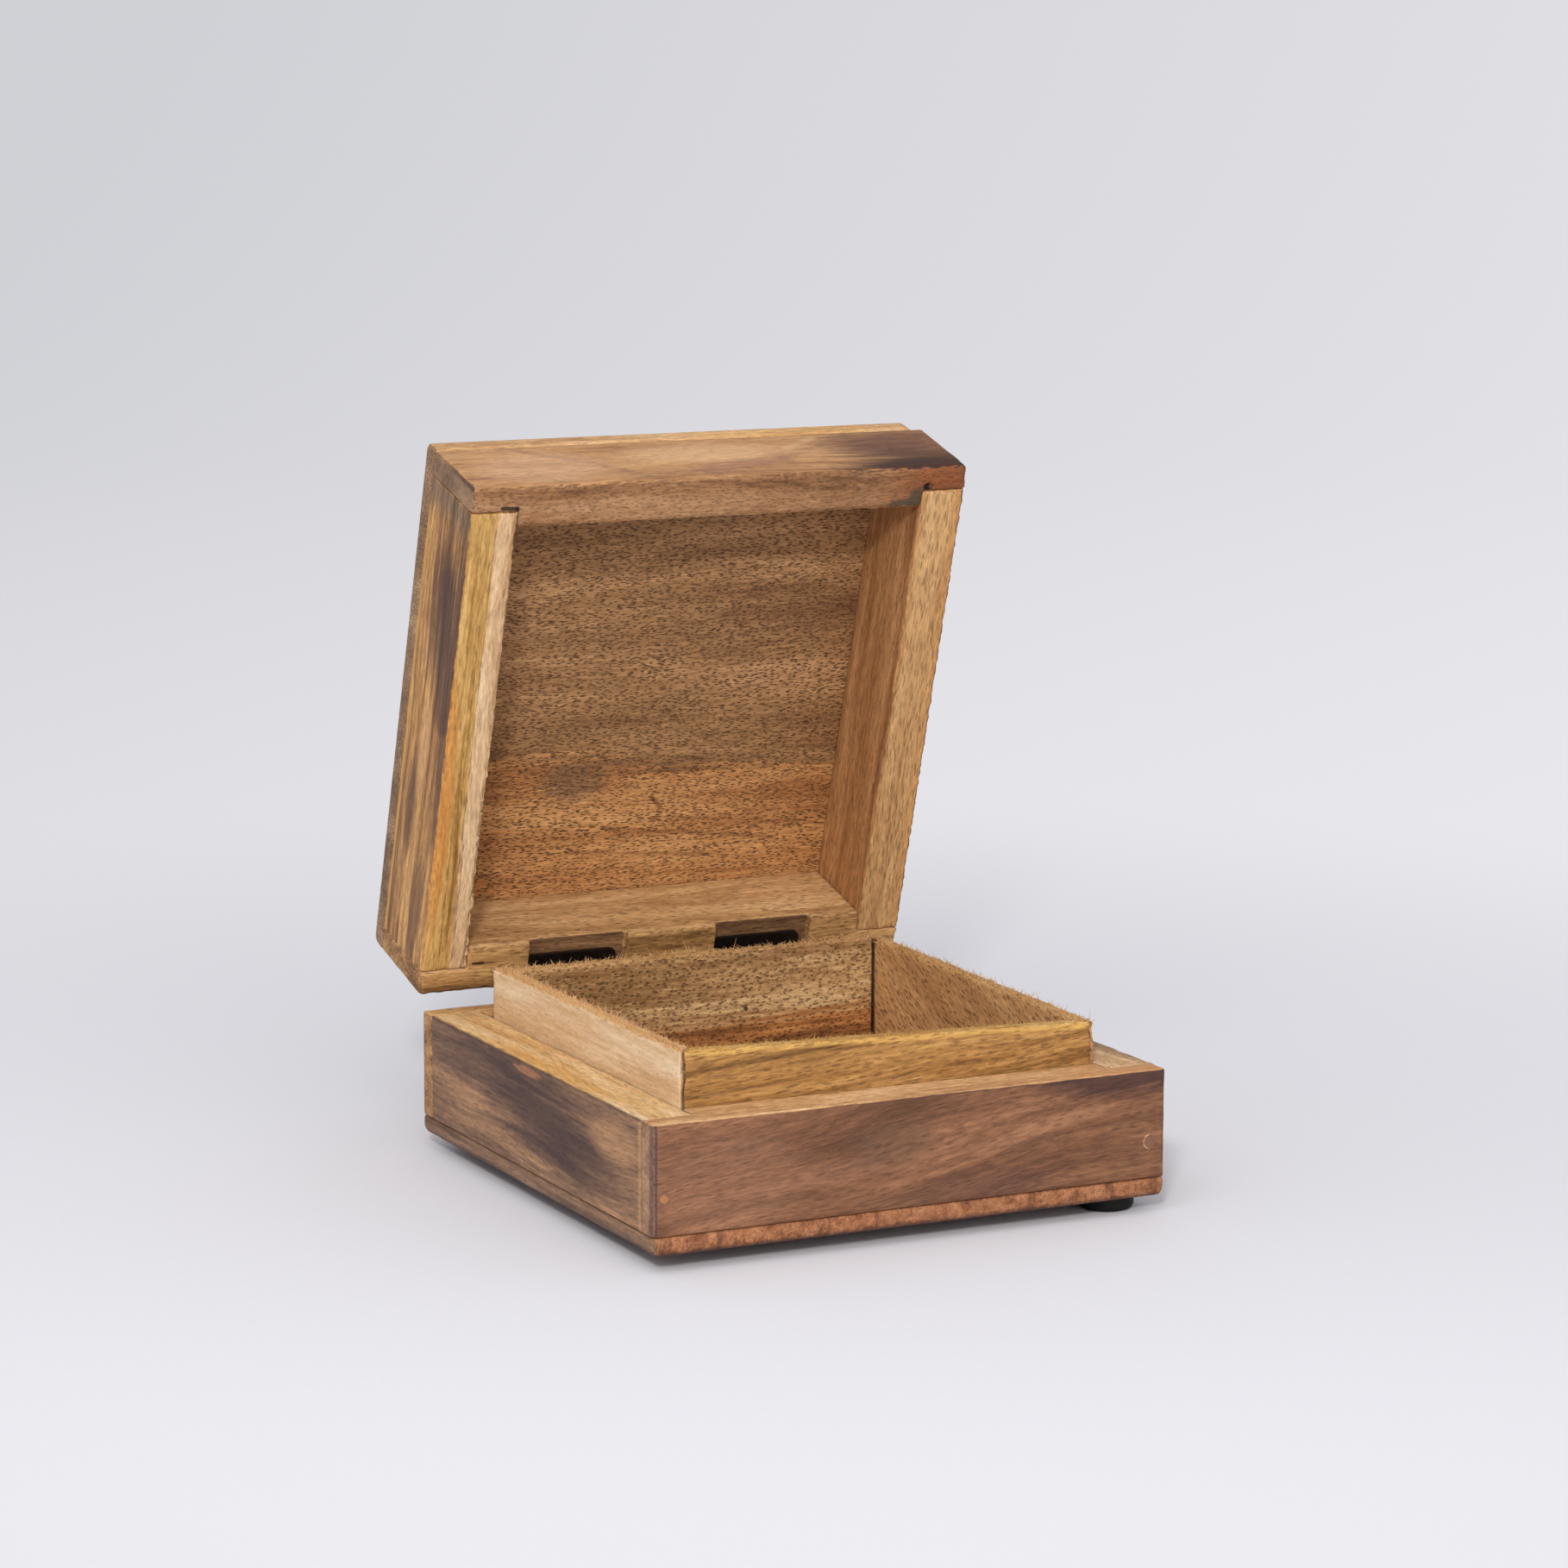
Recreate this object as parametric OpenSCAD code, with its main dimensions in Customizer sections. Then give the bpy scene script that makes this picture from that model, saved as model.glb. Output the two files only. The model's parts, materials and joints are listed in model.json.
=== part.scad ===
// Wooden spice box with a hinged lid.
// The lower half and the lid are each four walls, rabbeted at the corners, with a board glued on.
// Four mitred slips line the lower half and stand above its rim as a lip that the lid drops over.
// Two small butt hinges are let into the rims at the back, and four bumpers carry the box.
// The origin is on the table, under the middle of the box as it stands open. +Y points to the back.

/* [Box] */
// Width across the front
box_w = 100; // [84:1:140]
// Depth from front to back
box_d = 101.5; // [84:0.5:140]
// Height of the lower half without its feet
body_h = 23.2; // [18:0.2:60]
// Height of the lid
lid_h = 23.8; // [18:0.2:60]
// Angle at which the lid stands open
lid_open = 73.8; // [0:0.1:180]
// Gap between the two rims when the box is shut
rim_gap = 0.4; // [0.2:0.1:1]

/* [Boards] */
// Thickness of the bottom board
bottom_t = 3.6; // [2.5:0.1:6]
// Thickness of the top board
top_t = 5; // [3:0.1:8]
// Thickness of the lid's front wall
lid_front_t = 8.1; // [7:0.1:11]
// Thickness of the lid's back wall
lid_back_t = 9.1; // [9:0.1:12]
// Thickness of the lid's left wall
lid_left_t = 9.3; // [7:0.1:11]
// Thickness of the lid's right wall
lid_right_t = 8.9; // [7:0.1:11]
// Thickness of the tongues that cover the ends of the side walls
tongue_t = 4.9; // [3:0.1:6]

/* [Worn edges] */
// Rounding of the upright corners
corner_r = 1; // [0.4:0.1:2]
// Rounding of the top board's front right corner, seen from above
top_corner_r = 4.5; // [2:0.1:8]
// Rounding of the lid's top edge at the front and the sides
top_r = 2; // [0.5:0.1:3]
// Rounding of the lid's top edge at the back
top_back_r = 4.5; // [0.5:0.1:6]
// Rounding of the bottom edges
bottom_r = 1.6; // [0.5:0.1:2.4]

/* [Liner] */
// Thickness of the slips
liner_t = 3; // [2:0.1:5]
// Height of the lip above the rim at the front left corner
lip_front_left = 10; // [4:0.1:12]
// Height of the lip at the front right corner
lip_front_right = 7.5; // [4:0.1:12]
// Height of the lip at the back left corner
lip_back_left = 9; // [4:0.1:12]
// Height of the lip at the back right corner
lip_back_right = 8.3; // [4:0.1:12]
// Play between the lip and the lid's side walls
lip_side_gap = 0.4; // [0.3:0.1:2]
// Play between the lip and the lid's front wall
lip_front_gap = 1.5; // [1.5:0.1:3]
// Play between the lip and the lid's back wall
lip_back_gap = 1; // [0.5:0.1:2]
// Open joint between two slips at a corner
mitre_gap = 0.3; // [0.1:0.05:1]

/* [Hinges] */
// Length of a hinge
hinge_len = 18; // [12:0.5:20]
// Middle of the left hinge, to the left of the box's middle
hinge_left_x = 19; // [14:0.5:26]
// Middle of the right hinge, to the right of the box's middle
hinge_right_x = 19.7; // [18:0.1:26]
// Width of one leaf from the pin's axis to its free edge
leaf_w = 8; // [7:0.1:9]
// Thickness of the leaves
leaf_t = 0.8; // [0.5:0.05:1]
// Rounding of the leaves' free corners
leaf_r = 1.2; // [0.5:0.1:2]
// Diameter of the hinge pin
pin_d = 1.6; // [1.2:0.1:1.9]
// Distance from the back of the wood to the pin's axis
pin_back = 2.05; // [1.9:0.05:2.6]
// Number of knuckles on the barrel
knuckles = 5; // [3:2:7]
// Play between two knuckles
knuckle_gap = 0.12; // [0.05:0.01:0.3]
// Radial play of the pin in its knuckles
pin_play = 0.05; // [0.02:0.01:0.1]
// Room left in each mortise past the hinge's right end
mortise_spare = 1.9; // [0.1:0.1:3]

/* [Screws] */
// Diameter of a screw's countersunk head
screw_head_d = 3.4; // [3:0.1:3.8]
// Diameter of a screw's shank
screw_d = 1.8; // [1.4:0.1:2]
// Length of a screw with its head
screw_len = 8; // [5:0.5:12]
// Diameter of a screw's blunt tip
screw_tip_d = 0.2; // [0.1:0.05:0.6]
// Distance between a leaf's two screws
screw_pitch = 11; // [8:0.5:12]
// Distance from the pin's axis to the screws
screw_back = 5.3; // [4.8:0.1:5.6]

/* [Brads] */
// Diameter of a brad
brad_d = 1.2; // [0.8:0.1:1.4]
// Length of a brad
brad_len = 18; // [12:1:25]
// Distance of the left brads from the left side
brad_in_left = 2; // [1.8:0.1:4]
// Distance of the right brads from the right side
brad_in_right = 3.3; // [1.8:0.1:4]
// Height of the lower half's brads above its underside
body_brad_z = 10.3; // [6:0.1:14]
// Height of the lid's brads above its rim
lid_brad_z = 15.4; // [6:0.1:16]
// Diameter of the putty over a sunk brad
putty_d = 2.3; // [1.6:0.1:2.8]
// Depth of the putty over a sunk brad
putty_t = 1; // [0.5:0.1:2]
// Play of brads, screws and putty in their holes
hole_play = 0.02; // [0.01:0.01:0.05]

/* [Pin of the liner] */
// Place of the pin in the back slip, to the right of the box's middle
liner_pin_x = 10.6; // [-4:0.1:11]
// Depth of that pin below the rim
liner_pin_down = 2.8; // [2.6:0.1:6]
// Diameter of that pin
liner_pin_d = 0.9; // [0.6:0.1:1.2]
// Length of that pin
liner_pin_len = 9; // [6:0.5:10]

/* [Feet] */
// Diameter of a bumper
foot_d = 10; // [6:0.5:14]
// Height of a bumper
foot_h = 3; // [1.5:0.1:5]
// Distance from the left side of the box to the middles of its bumpers
foot_in_left = 14; // [7:0.1:20]
// Distance from the right side of the box to the middles of its bumpers
foot_in_right = 7.3; // [7:0.1:20]
// Distance from the front of the box to the middle of the front left bumper
foot_in_front_left = 20; // [7:0.1:25]
// Distance from the front of the box to the middle of the front right bumper
foot_in_front_right = 8.3; // [7:0.1:25]
// Distance from the back of the box to the middles of the back bumpers
foot_in_back = 8.3; // [7:0.1:25]
// Rounding of a bumper's lower edge
foot_r = 1.2; // [0.3:0.1:1.4]

/* [Hidden] */
$fn = 96;
eps = 0.01;
left = -1;
right = 1;
front = -1;
back = 1;

// Walls of the lower half, thicker than the lid's so that the lip clears the lid
body_front_t = lid_front_t + lip_front_gap;
body_back_t = lid_back_t + lip_back_gap;
body_left_t = lid_left_t + lip_side_gap;
body_right_t = lid_right_t + lip_side_gap;

// Levels of the shut box, from the underside of the wood
lid_rim_z = body_h + rim_gap;
lid_top_z = lid_rim_z + lid_h;
lid_wall_h = lid_h - top_t;

// Hinge axis and barrel
pin_y = box_d / 2 + pin_back;
pin_z = body_h + rim_gap / 2;
barrel_r = pin_d / 2 + pin_play + leaf_t;
mortise_depth = barrel_r - rim_gap / 2;
knuckle_pitch = hinge_len / knuckles;
barrel_room = 0.15;
mortise_end_play = 0.1;

// Where the open lid reaches furthest back, as the profile's rounded corners turn about the pin
function reach(y, z, r) = pin_y + (y - pin_y) * cos(lid_open) + (z - pin_z) * sin(lid_open) + r;
rear_y = max(
    pin_y + barrel_r,
    reach(box_d / 2 - top_back_r, lid_top_z - top_back_r, top_back_r),
    reach(top_r - box_d / 2, lid_top_z - top_r, top_r),
    reach(box_d / 2, lid_rim_z, 0),
    reach(-box_d / 2, lid_rim_z, 0)
);
middle_y = (rear_y - box_d / 2) / 2;

// Puts the shut box's frame on the table, with the origin under the middle of the open box
module on_table() {
    translate([0, -middle_y, foot_h]) children();
}

// Turns what belongs to the lid about the hinge pin
module with_lid() {
    on_table()
        translate([0, pin_y, pin_z])
            rotate([-lid_open, 0, 0])
                translate([0, -pin_y, -pin_z]) children();
}

// A rectangle whose four corners each have their own radius, in turn from the lower left
module rounded_rect(low, high, radii) {
    corners = [low, [high.x, low.y], high, [low.x, high.y]];
    quarters = [[1, 1], [-1, 1], [-1, -1], [1, -1]];
    difference() {
        translate(low) square(high - low);
        for (i = [0 : 3])
            if (radii[i] > 0)
                translate(corners[i]) into_quarter(quarters[i])
                    translate([-eps, -eps]) difference() {
                        square(radii[i] + eps);
                        translate([radii[i] + eps, radii[i] + eps]) circle(radii[i]);
                    }
    }
}

// Mirrors a flat shape from the first quarter into the quarter that two signs name
module into_quarter(signs) {
    mirror([signs.x < 0 ? 1 : 0, 0, 0]) mirror([0, signs.y < 0 ? 1 : 0, 0]) children();
}

// Space between two levels inside the box's outline, rounded at the upright corners,
// at the left and right edges and at the front and back edges
module outline_block(z0, z1, low_r, high_side_r, high_front_r, high_back_r) {
    w = box_w / 2;
    d = box_d / 2;
    intersection() {
        translate([0, 0, z0]) linear_extrude(z1 - z0)
            rounded_rect([-w, -d], [w, d], [corner_r, corner_r, corner_r, corner_r]);
        translate([0, d, 0]) rotate([90, 0, 0]) linear_extrude(box_d)
            rounded_rect([-w, z0], [w, z1], [low_r, low_r, high_side_r, high_side_r]);
        translate([-w, 0, 0]) rotate([90, 0, 90]) linear_extrude(box_w)
            rounded_rect([-d, z0], [d, z1], [low_r, low_r, high_back_r, high_front_r]);
    }
}

module body_outline() {
    outline_block(0, body_h, bottom_r, 0, 0, 0);
}

module lid_outline() {
    outline_block(lid_rim_z, lid_top_z, 0, top_r, top_r, top_back_r);
}

// A box given by its lowest and highest corners
module block(low, high) {
    translate(low) cube(high - low);
}

// A wall across the front or the back, rabbeted at both ends for the side walls
module cross_wall(side, z0, z1, wall_t, left_t, right_t) {
    outer = side * box_d / 2;
    inner = outer - side * wall_t;
    step = outer - side * tongue_t;
    beyond = inner - side * eps;
    low_y = min(step, beyond);
    high_y = max(step, beyond);
    difference() {
        block([-box_w / 2, min(outer, inner), z0], [box_w / 2, max(outer, inner), z1]);
        block([-box_w / 2 - eps, low_y, z0 - eps], [-box_w / 2 + left_t, high_y, z1 + eps]);
        block([box_w / 2 - right_t, low_y, z0 - eps], [box_w / 2 + eps, high_y, z1 + eps]);
    }
}

// A wall along the left or the right side, seated in the rabbets
module side_wall(side, z0, z1, wall_t) {
    outer = side * box_w / 2;
    inner = outer - side * wall_t;
    reach_y = box_d / 2 - tongue_t;
    block([min(outer, inner), -reach_y, z0], [max(outer, inner), reach_y, z1]);
}

// Places something at the middle of the left and of the right brad, on the front or the back face
module at_brads(side, z) {
    for (x = [-box_w / 2 + brad_in_left, box_w / 2 - brad_in_right])
        translate([x, side * box_d / 2, z]) rotate([side * 90, 0, 0]) children();
}

module brads(side, z) {
    at_brads(side, z) translate([0, 0, putty_t]) cylinder(d = brad_d, h = brad_len);
}

module brad_holes(side, z) {
    at_brads(side, z) {
        translate([0, 0, -eps]) cylinder(d = putty_d + 2 * hole_play, h = putty_t + eps);
        cylinder(d = brad_d + 2 * hole_play, h = putty_t + brad_len + hole_play);
    }
}

module putty(side, z) {
    at_brads(side, z) cylinder(d = putty_d, h = putty_t);
}

// Recess for one hinge leaf, cut into a rim and open to the inside and the back
module mortise(hinge_x, rim_z, way) {
    low_x = hinge_x - hinge_len / 2 - mortise_end_play;
    high_x = hinge_x + hinge_len / 2 + mortise_spare;
    floor_z = rim_z + way * mortise_depth;
    block([low_x, 0, min(rim_z - way * eps, floor_z)], [high_x, box_d, max(rim_z - way * eps, floor_z)]);
}

// Turns a leaf's own frame, with the pin along X and the leaf above it, to the lid or the lower half
module at_hinge(hinge_x, way) {
    translate([hinge_x, pin_y, pin_z]) mirror([0, 0, way < 0 ? 1 : 0]) children();
}

// Places something at each screw of a leaf, on the leaf's inner face and pointing into the wood
module at_screws() {
    for (x = [-screw_pitch / 2, screw_pitch / 2])
        translate([x, -screw_back, barrel_r - leaf_t]) children();
}

// A countersunk screw's body, grown by a radial play
module screw_form(play) {
    cylinder(d1 = screw_head_d + 2 * play, d2 = screw_d + 2 * play, h = leaf_t);
    translate([0, 0, leaf_t]) cylinder(d = screw_d + 2 * play, h = screw_len - leaf_t - screw_d);
    translate([0, 0, screw_len - screw_d])
        cylinder(d1 = screw_d + 2 * play, d2 = screw_tip_d + 2 * play, h = screw_d + play);
}

module screws() {
    recess_w = 0.45;
    recess_len = screw_head_d * 0.55;
    recess_t = leaf_t * 0.6;
    at_screws() difference() {
        screw_form(0);
        for (turn = [0, 90])
            rotate(turn + 20)
                translate([-recess_len / 2, -recess_w / 2, -eps]) cube([recess_len, recess_w, recess_t]);
    }
}

// Knuckles of one leaf: the odd ones belong to the lower half, the even ones to the lid
function own_knuckles(first) = [for (i = [first : 2 : knuckles - 1]) i];

// Extrudes a section along one knuckle. The outer knuckles end with the leaf, or just past it in a cut
module knuckle_span(i, cut) {
    inner_end = cut ? -knuckle_gap / 2 : knuckle_gap / 2;
    outer_end = cut ? -eps : 0;
    x0 = -hinge_len / 2 + i * knuckle_pitch + (i == 0 ? outer_end : inner_end);
    x1 = -hinge_len / 2 + (i + 1) * knuckle_pitch - (i == knuckles - 1 ? outer_end : inner_end);
    translate([x0, 0, 0]) rotate([90, 0, 90]) linear_extrude(x1 - x0) children();
}

// A leaf rolled round the pin at its own knuckles and cut back for the others
module leaf(first) {
    bore_r = pin_d / 2 + pin_play;
    flat = [[-hinge_len / 2, -leaf_w], [hinge_len / 2, 0]];
    difference() {
        union() {
            translate([0, 0, barrel_r - leaf_t]) linear_extrude(leaf_t)
                rounded_rect(flat[0], flat[1], [leaf_r, leaf_r, 0, 0]);
            for (i = own_knuckles(first)) knuckle_span(i, false) circle(barrel_r);
        }
        for (i = own_knuckles(1 - first))
            knuckle_span(i, true)
                translate([-barrel_r - barrel_room, -barrel_r - eps])
                    square([2 * barrel_r + barrel_room + eps, 2 * barrel_r + 2 * eps]);
        translate([-hinge_len / 2 - eps, 0, 0]) rotate([0, 90, 0])
            cylinder(r = bore_r, h = hinge_len + 2 * eps);
        at_screws() translate([0, 0, -eps]) cylinder(
            d1 = screw_head_d + 2 * hole_play + 2 * eps, d2 = screw_d + 2 * hole_play, h = leaf_t + 2 * eps);
    }
}

// The pin, with its ends turned to a blunt cone
module hinge_pin() {
    tip = pin_d / 5;
    translate([-hinge_len / 2, 0, 0]) rotate([0, 90, 0]) {
        cylinder(d1 = pin_d - 2 * tip, d2 = pin_d, h = tip);
        translate([0, 0, tip]) cylinder(d = pin_d, h = hinge_len - 2 * tip);
        translate([0, 0, hinge_len - tip]) cylinder(d1 = pin_d, d2 = pin_d - 2 * tip, h = tip);
    }
}

// Everything that is bored or cut out of the walls for metal parts
module body_cuts() {
    mortise(-hinge_left_x, body_h, -1);
    mortise(hinge_right_x, body_h, -1);
    at_hinge(-hinge_left_x, -1) at_screws() screw_form(hole_play);
    at_hinge(hinge_right_x, -1) at_screws() screw_form(hole_play);
    brad_holes(front, body_brad_z);
    brad_holes(back, body_brad_z);
    liner_pin_form(hole_play);
}

module lid_cuts() {
    mortise(-hinge_left_x, lid_rim_z, 1);
    mortise(hinge_right_x, lid_rim_z, 1);
    at_hinge(-hinge_left_x, 1) at_screws() screw_form(hole_play);
    at_hinge(hinge_right_x, 1) at_screws() screw_form(hole_play);
    brad_holes(front, lid_rim_z + lid_brad_z);
    brad_holes(back, lid_rim_z + lid_brad_z);
}

module body_board(colour) {
    color(colour) on_table() difference() {
        intersection() {
            children();
            body_outline();
        }
        body_cuts();
    }
}

module lid_board(colour) {
    color(colour) with_lid() difference() {
        intersection() {
            children();
            lid_outline();
        }
        lid_cuts();
    }
}

module bottom_board() {
    color("#a9683f") on_table() intersection() {
        block([-box_w / 2, -box_d / 2, 0], [box_w / 2, box_d / 2, bottom_t]);
        body_outline();
    }
}

// The board over the lid's walls, rubbed down to a larger round at its front right corner
module top_board() {
    color("#8d6742") with_lid() intersection() {
        translate([0, 0, lid_top_z - top_t]) linear_extrude(top_t)
            rounded_rect([-box_w / 2, -box_d / 2], [box_w / 2, box_d / 2], [0, top_corner_r, 0, 0]);
        lid_outline();
    }
}

module body_front_wall() {
    body_board("#7d5540") cross_wall(front, bottom_t, body_h, body_front_t, body_left_t, body_right_t);
}

module body_back_wall() {
    body_board("#94683f") cross_wall(back, bottom_t, body_h, body_back_t, body_left_t, body_right_t);
}

module body_left_wall() {
    body_board("#9a7148") side_wall(left, bottom_t, body_h, body_left_t);
}

module body_right_wall() {
    body_board("#a87c4c") side_wall(right, bottom_t, body_h, body_right_t);
}

module lid_front_wall() {
    lid_board("#b58255")
        cross_wall(front, lid_rim_z, lid_rim_z + lid_wall_h, lid_front_t, lid_left_t, lid_right_t);
}

module lid_back_wall() {
    lid_board("#a57a4a")
        cross_wall(back, lid_rim_z, lid_rim_z + lid_wall_h, lid_back_t, lid_left_t, lid_right_t);
}

module lid_left_wall() {
    lid_board("#c39a5a") side_wall(left, lid_rim_z, lid_rim_z + lid_wall_h, lid_left_t);
}

module lid_right_wall() {
    lid_board("#bb8c5c") side_wall(right, lid_rim_z, lid_rim_z + lid_wall_h, lid_right_t);
}

// Outer corners of the liner, where it touches the walls
liner_low = [body_left_t - box_w / 2, body_front_t - box_d / 2];
liner_high = [box_w / 2 - body_right_t, box_d / 2 - body_back_t];

// Height of the slips' sawn tops along one edge, from one corner's lip to the next
module slip_face(a, b, lip_a, lip_b) {
    polygon([[a, bottom_t], [b, bottom_t], [b, body_h + lip_b], [a, body_h + lip_a]]);
}

// Plan of a slip with mitred ends, for a slip that runs along X and has its outer edge at out_y
module slip_plan(x0, x1, out_y, inward) {
    cut = mitre_gap * sqrt(2) / 2;
    polygon([
        [x0 + cut, out_y], [x1 - cut, out_y],
        [x1 - cut - liner_t, out_y + inward * liner_t], [x0 + cut + liner_t, out_y + inward * liner_t]
    ]);
}

// A slip across the front or the back
module cross_slip(out_y, inward, lip_a, lip_b) {
    intersection() {
        linear_extrude(body_h * 2) slip_plan(liner_low.x, liner_high.x, out_y, inward);
        translate([0, box_d / 2, 0]) rotate([90, 0, 0]) linear_extrude(box_d)
            slip_face(liner_low.x, liner_high.x, lip_a, lip_b);
    }
}

// A slip along the left or the right side
module side_slip(out_x, inward, lip_a, lip_b) {
    intersection() {
        linear_extrude(body_h * 2) mirror([1, -1, 0]) slip_plan(liner_low.y, liner_high.y, out_x, inward);
        translate([-box_w / 2, 0, 0]) rotate([90, 0, 90]) linear_extrude(box_w)
            slip_face(liner_low.y, liner_high.y, lip_a, lip_b);
    }
}

module liner_front() {
    color("#b08a4e") on_table() cross_slip(liner_low.y, 1, lip_front_left, lip_front_right);
}

module liner_back() {
    color("#a57a48") on_table() difference() {
        cross_slip(liner_high.y, -1, lip_back_left, lip_back_right);
        liner_pin_form(hole_play);
    }
}

module liner_left() {
    color("#d0a873") on_table() side_slip(liner_low.x, 1, lip_front_left, lip_back_left);
}

module liner_right() {
    color("#a47450") on_table() side_slip(liner_high.x, -1, lip_front_right, lip_back_right);
}

// The small pin shot through the back slip into the wall behind it, grown by a play for its hole
module liner_pin_form(play) {
    translate([liner_pin_x, liner_high.y - liner_t - play, body_h - liner_pin_down]) rotate([-90, 0, 0])
        cylinder(d = liner_pin_d + 2 * play, h = liner_pin_len + 2 * play);
}

module liner_pin() {
    color("#8b8f94") on_table() liner_pin_form(0);
}

module body_front_brads() {
    color("#8b8f94") on_table() brads(front, body_brad_z);
}

module body_back_brads() {
    color("#8b8f94") on_table() brads(back, body_brad_z);
}

module body_putty() {
    color("#b8742a") on_table() {
        putty(front, body_brad_z);
        putty(back, body_brad_z);
    }
}

module lid_front_brads() {
    color("#8b8f94") with_lid() brads(front, lid_rim_z + lid_brad_z);
}

module lid_back_brads() {
    color("#8b8f94") with_lid() brads(back, lid_rim_z + lid_brad_z);
}

module lid_putty() {
    color("#b8742a") with_lid() {
        putty(front, lid_rim_z + lid_brad_z);
        putty(back, lid_rim_z + lid_brad_z);
    }
}

module hinge_black() {
    color("#17130f") children();
}

module left_hinge_body_leaf() {
    hinge_black() on_table() at_hinge(-hinge_left_x, -1) leaf(0);
}

module right_hinge_body_leaf() {
    hinge_black() on_table() at_hinge(hinge_right_x, -1) leaf(0);
}

module left_hinge_lid_leaf() {
    hinge_black() with_lid() at_hinge(-hinge_left_x, 1) leaf(1);
}

module right_hinge_lid_leaf() {
    hinge_black() with_lid() at_hinge(hinge_right_x, 1) leaf(1);
}

module left_hinge_pin() {
    hinge_black() on_table() at_hinge(-hinge_left_x, 1) hinge_pin();
}

module right_hinge_pin() {
    hinge_black() on_table() at_hinge(hinge_right_x, 1) hinge_pin();
}

module left_hinge_body_screws() {
    hinge_black() on_table() at_hinge(-hinge_left_x, -1) screws();
}

module right_hinge_body_screws() {
    hinge_black() on_table() at_hinge(hinge_right_x, -1) screws();
}

module left_hinge_lid_screws() {
    hinge_black() with_lid() at_hinge(-hinge_left_x, 1) screws();
}

module right_hinge_lid_screws() {
    hinge_black() with_lid() at_hinge(hinge_right_x, 1) screws();
}

// A round bumper, flat on the wood and rounded at the table
module foot(side_x, in_side, side_y, in_end) {
    x = side_x * (box_w / 2 - in_side);
    y = side_y * (box_d / 2 - in_end);
    color("#141312") on_table() translate([x, y, 0]) mirror([0, 0, 1]) rotate_extrude()
        intersection() {
            rounded_rect([-foot_d / 2, -foot_r], [foot_d / 2, foot_h], [0, 0, foot_r, foot_r]);
            square([foot_d / 2, foot_h]);
        }
}

module foot_front_left() {
    foot(left, foot_in_left, front, foot_in_front_left);
}

module foot_front_right() {
    foot(right, foot_in_right, front, foot_in_front_right);
}

module foot_back_left() {
    foot(left, foot_in_left, back, foot_in_back);
}

module foot_back_right() {
    foot(right, foot_in_right, back, foot_in_back);
}

bottom_board();
body_front_wall();
body_back_wall();
body_left_wall();
body_right_wall();
liner_front();
liner_back();
liner_left();
liner_right();
liner_pin();
body_front_brads();
body_back_brads();
body_putty();
left_hinge_body_leaf();
right_hinge_body_leaf();
left_hinge_pin();
right_hinge_pin();
left_hinge_body_screws();
right_hinge_body_screws();
foot_front_left();
foot_front_right();
foot_back_left();
foot_back_right();
top_board();
lid_front_wall();
lid_back_wall();
lid_left_wall();
lid_right_wall();
lid_front_brads();
lid_back_brads();
lid_putty();
left_hinge_lid_leaf();
right_hinge_lid_leaf();
left_hinge_lid_screws();
right_hinge_lid_screws();
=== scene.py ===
# %% [markdown]
# # A small spice box, made board by board
# The real object is a hand-made hardwood box, about ten centimetres square, whose lid is held by two
# black hinges. A thin liner stands above the rim of the lower half, so that the shut lid drops over it.
# The working model comes first: it holds every piece at its true size and says what turns about what.
# Everything after it gives those pieces the sawn, burnt and worn surfaces of the real ones.

# %% Load the working model
import json
import math

import bpy
import numpy as np
from mathutils import Matrix, Vector, noise


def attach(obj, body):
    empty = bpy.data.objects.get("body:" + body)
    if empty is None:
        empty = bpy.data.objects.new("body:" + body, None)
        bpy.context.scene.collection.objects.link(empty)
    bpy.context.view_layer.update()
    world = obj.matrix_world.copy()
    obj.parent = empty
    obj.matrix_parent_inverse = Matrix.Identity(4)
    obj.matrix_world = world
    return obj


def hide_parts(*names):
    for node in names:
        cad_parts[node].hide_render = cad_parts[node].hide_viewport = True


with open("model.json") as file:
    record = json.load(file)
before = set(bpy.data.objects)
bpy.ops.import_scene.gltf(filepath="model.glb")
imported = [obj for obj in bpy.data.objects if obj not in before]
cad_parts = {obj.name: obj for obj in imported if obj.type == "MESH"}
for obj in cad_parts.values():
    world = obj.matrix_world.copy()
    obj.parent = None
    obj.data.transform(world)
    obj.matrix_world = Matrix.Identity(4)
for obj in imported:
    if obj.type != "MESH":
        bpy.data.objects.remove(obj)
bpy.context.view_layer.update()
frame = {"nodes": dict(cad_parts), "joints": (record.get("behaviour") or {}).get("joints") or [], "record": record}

# %% [markdown]
# ## Shut and open
# The photograph shows the lid open, but its boards were cut and glued square to one another. It is far
# easier to model them as they lie when the box is shut and to turn them about the hinge pin at the end.
# The joint says where the pin is and how far the lid turns to shut, so the turn is taken from there.

# %% The turn about the hinge pin
mm = 0.001
hinge = frame["joints"][0]
pin = Vector(hinge["pos_m"])
open_angle = -math.radians(hinge["range_deg"][0])
swing = Matrix.Rotation(open_angle, 4, Vector(hinge["axis"]))
opening = Matrix.Translation(pin) @ swing @ Matrix.Translation(-pin)
shutting = opening.inverted()
lid_nodes = frame["record"]["behaviour"]["bodies"]["lid"]


def shut_box(node):
    """Lowest and highest corners of a node of the model, as it lies when the box is shut."""
    turn = shutting if node in lid_nodes else Matrix()
    corners = np.array([turn @ point.co for point in frame["nodes"][node].data.vertices])
    return Vector(corners.min(0)), Vector(corners.max(0))


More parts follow.
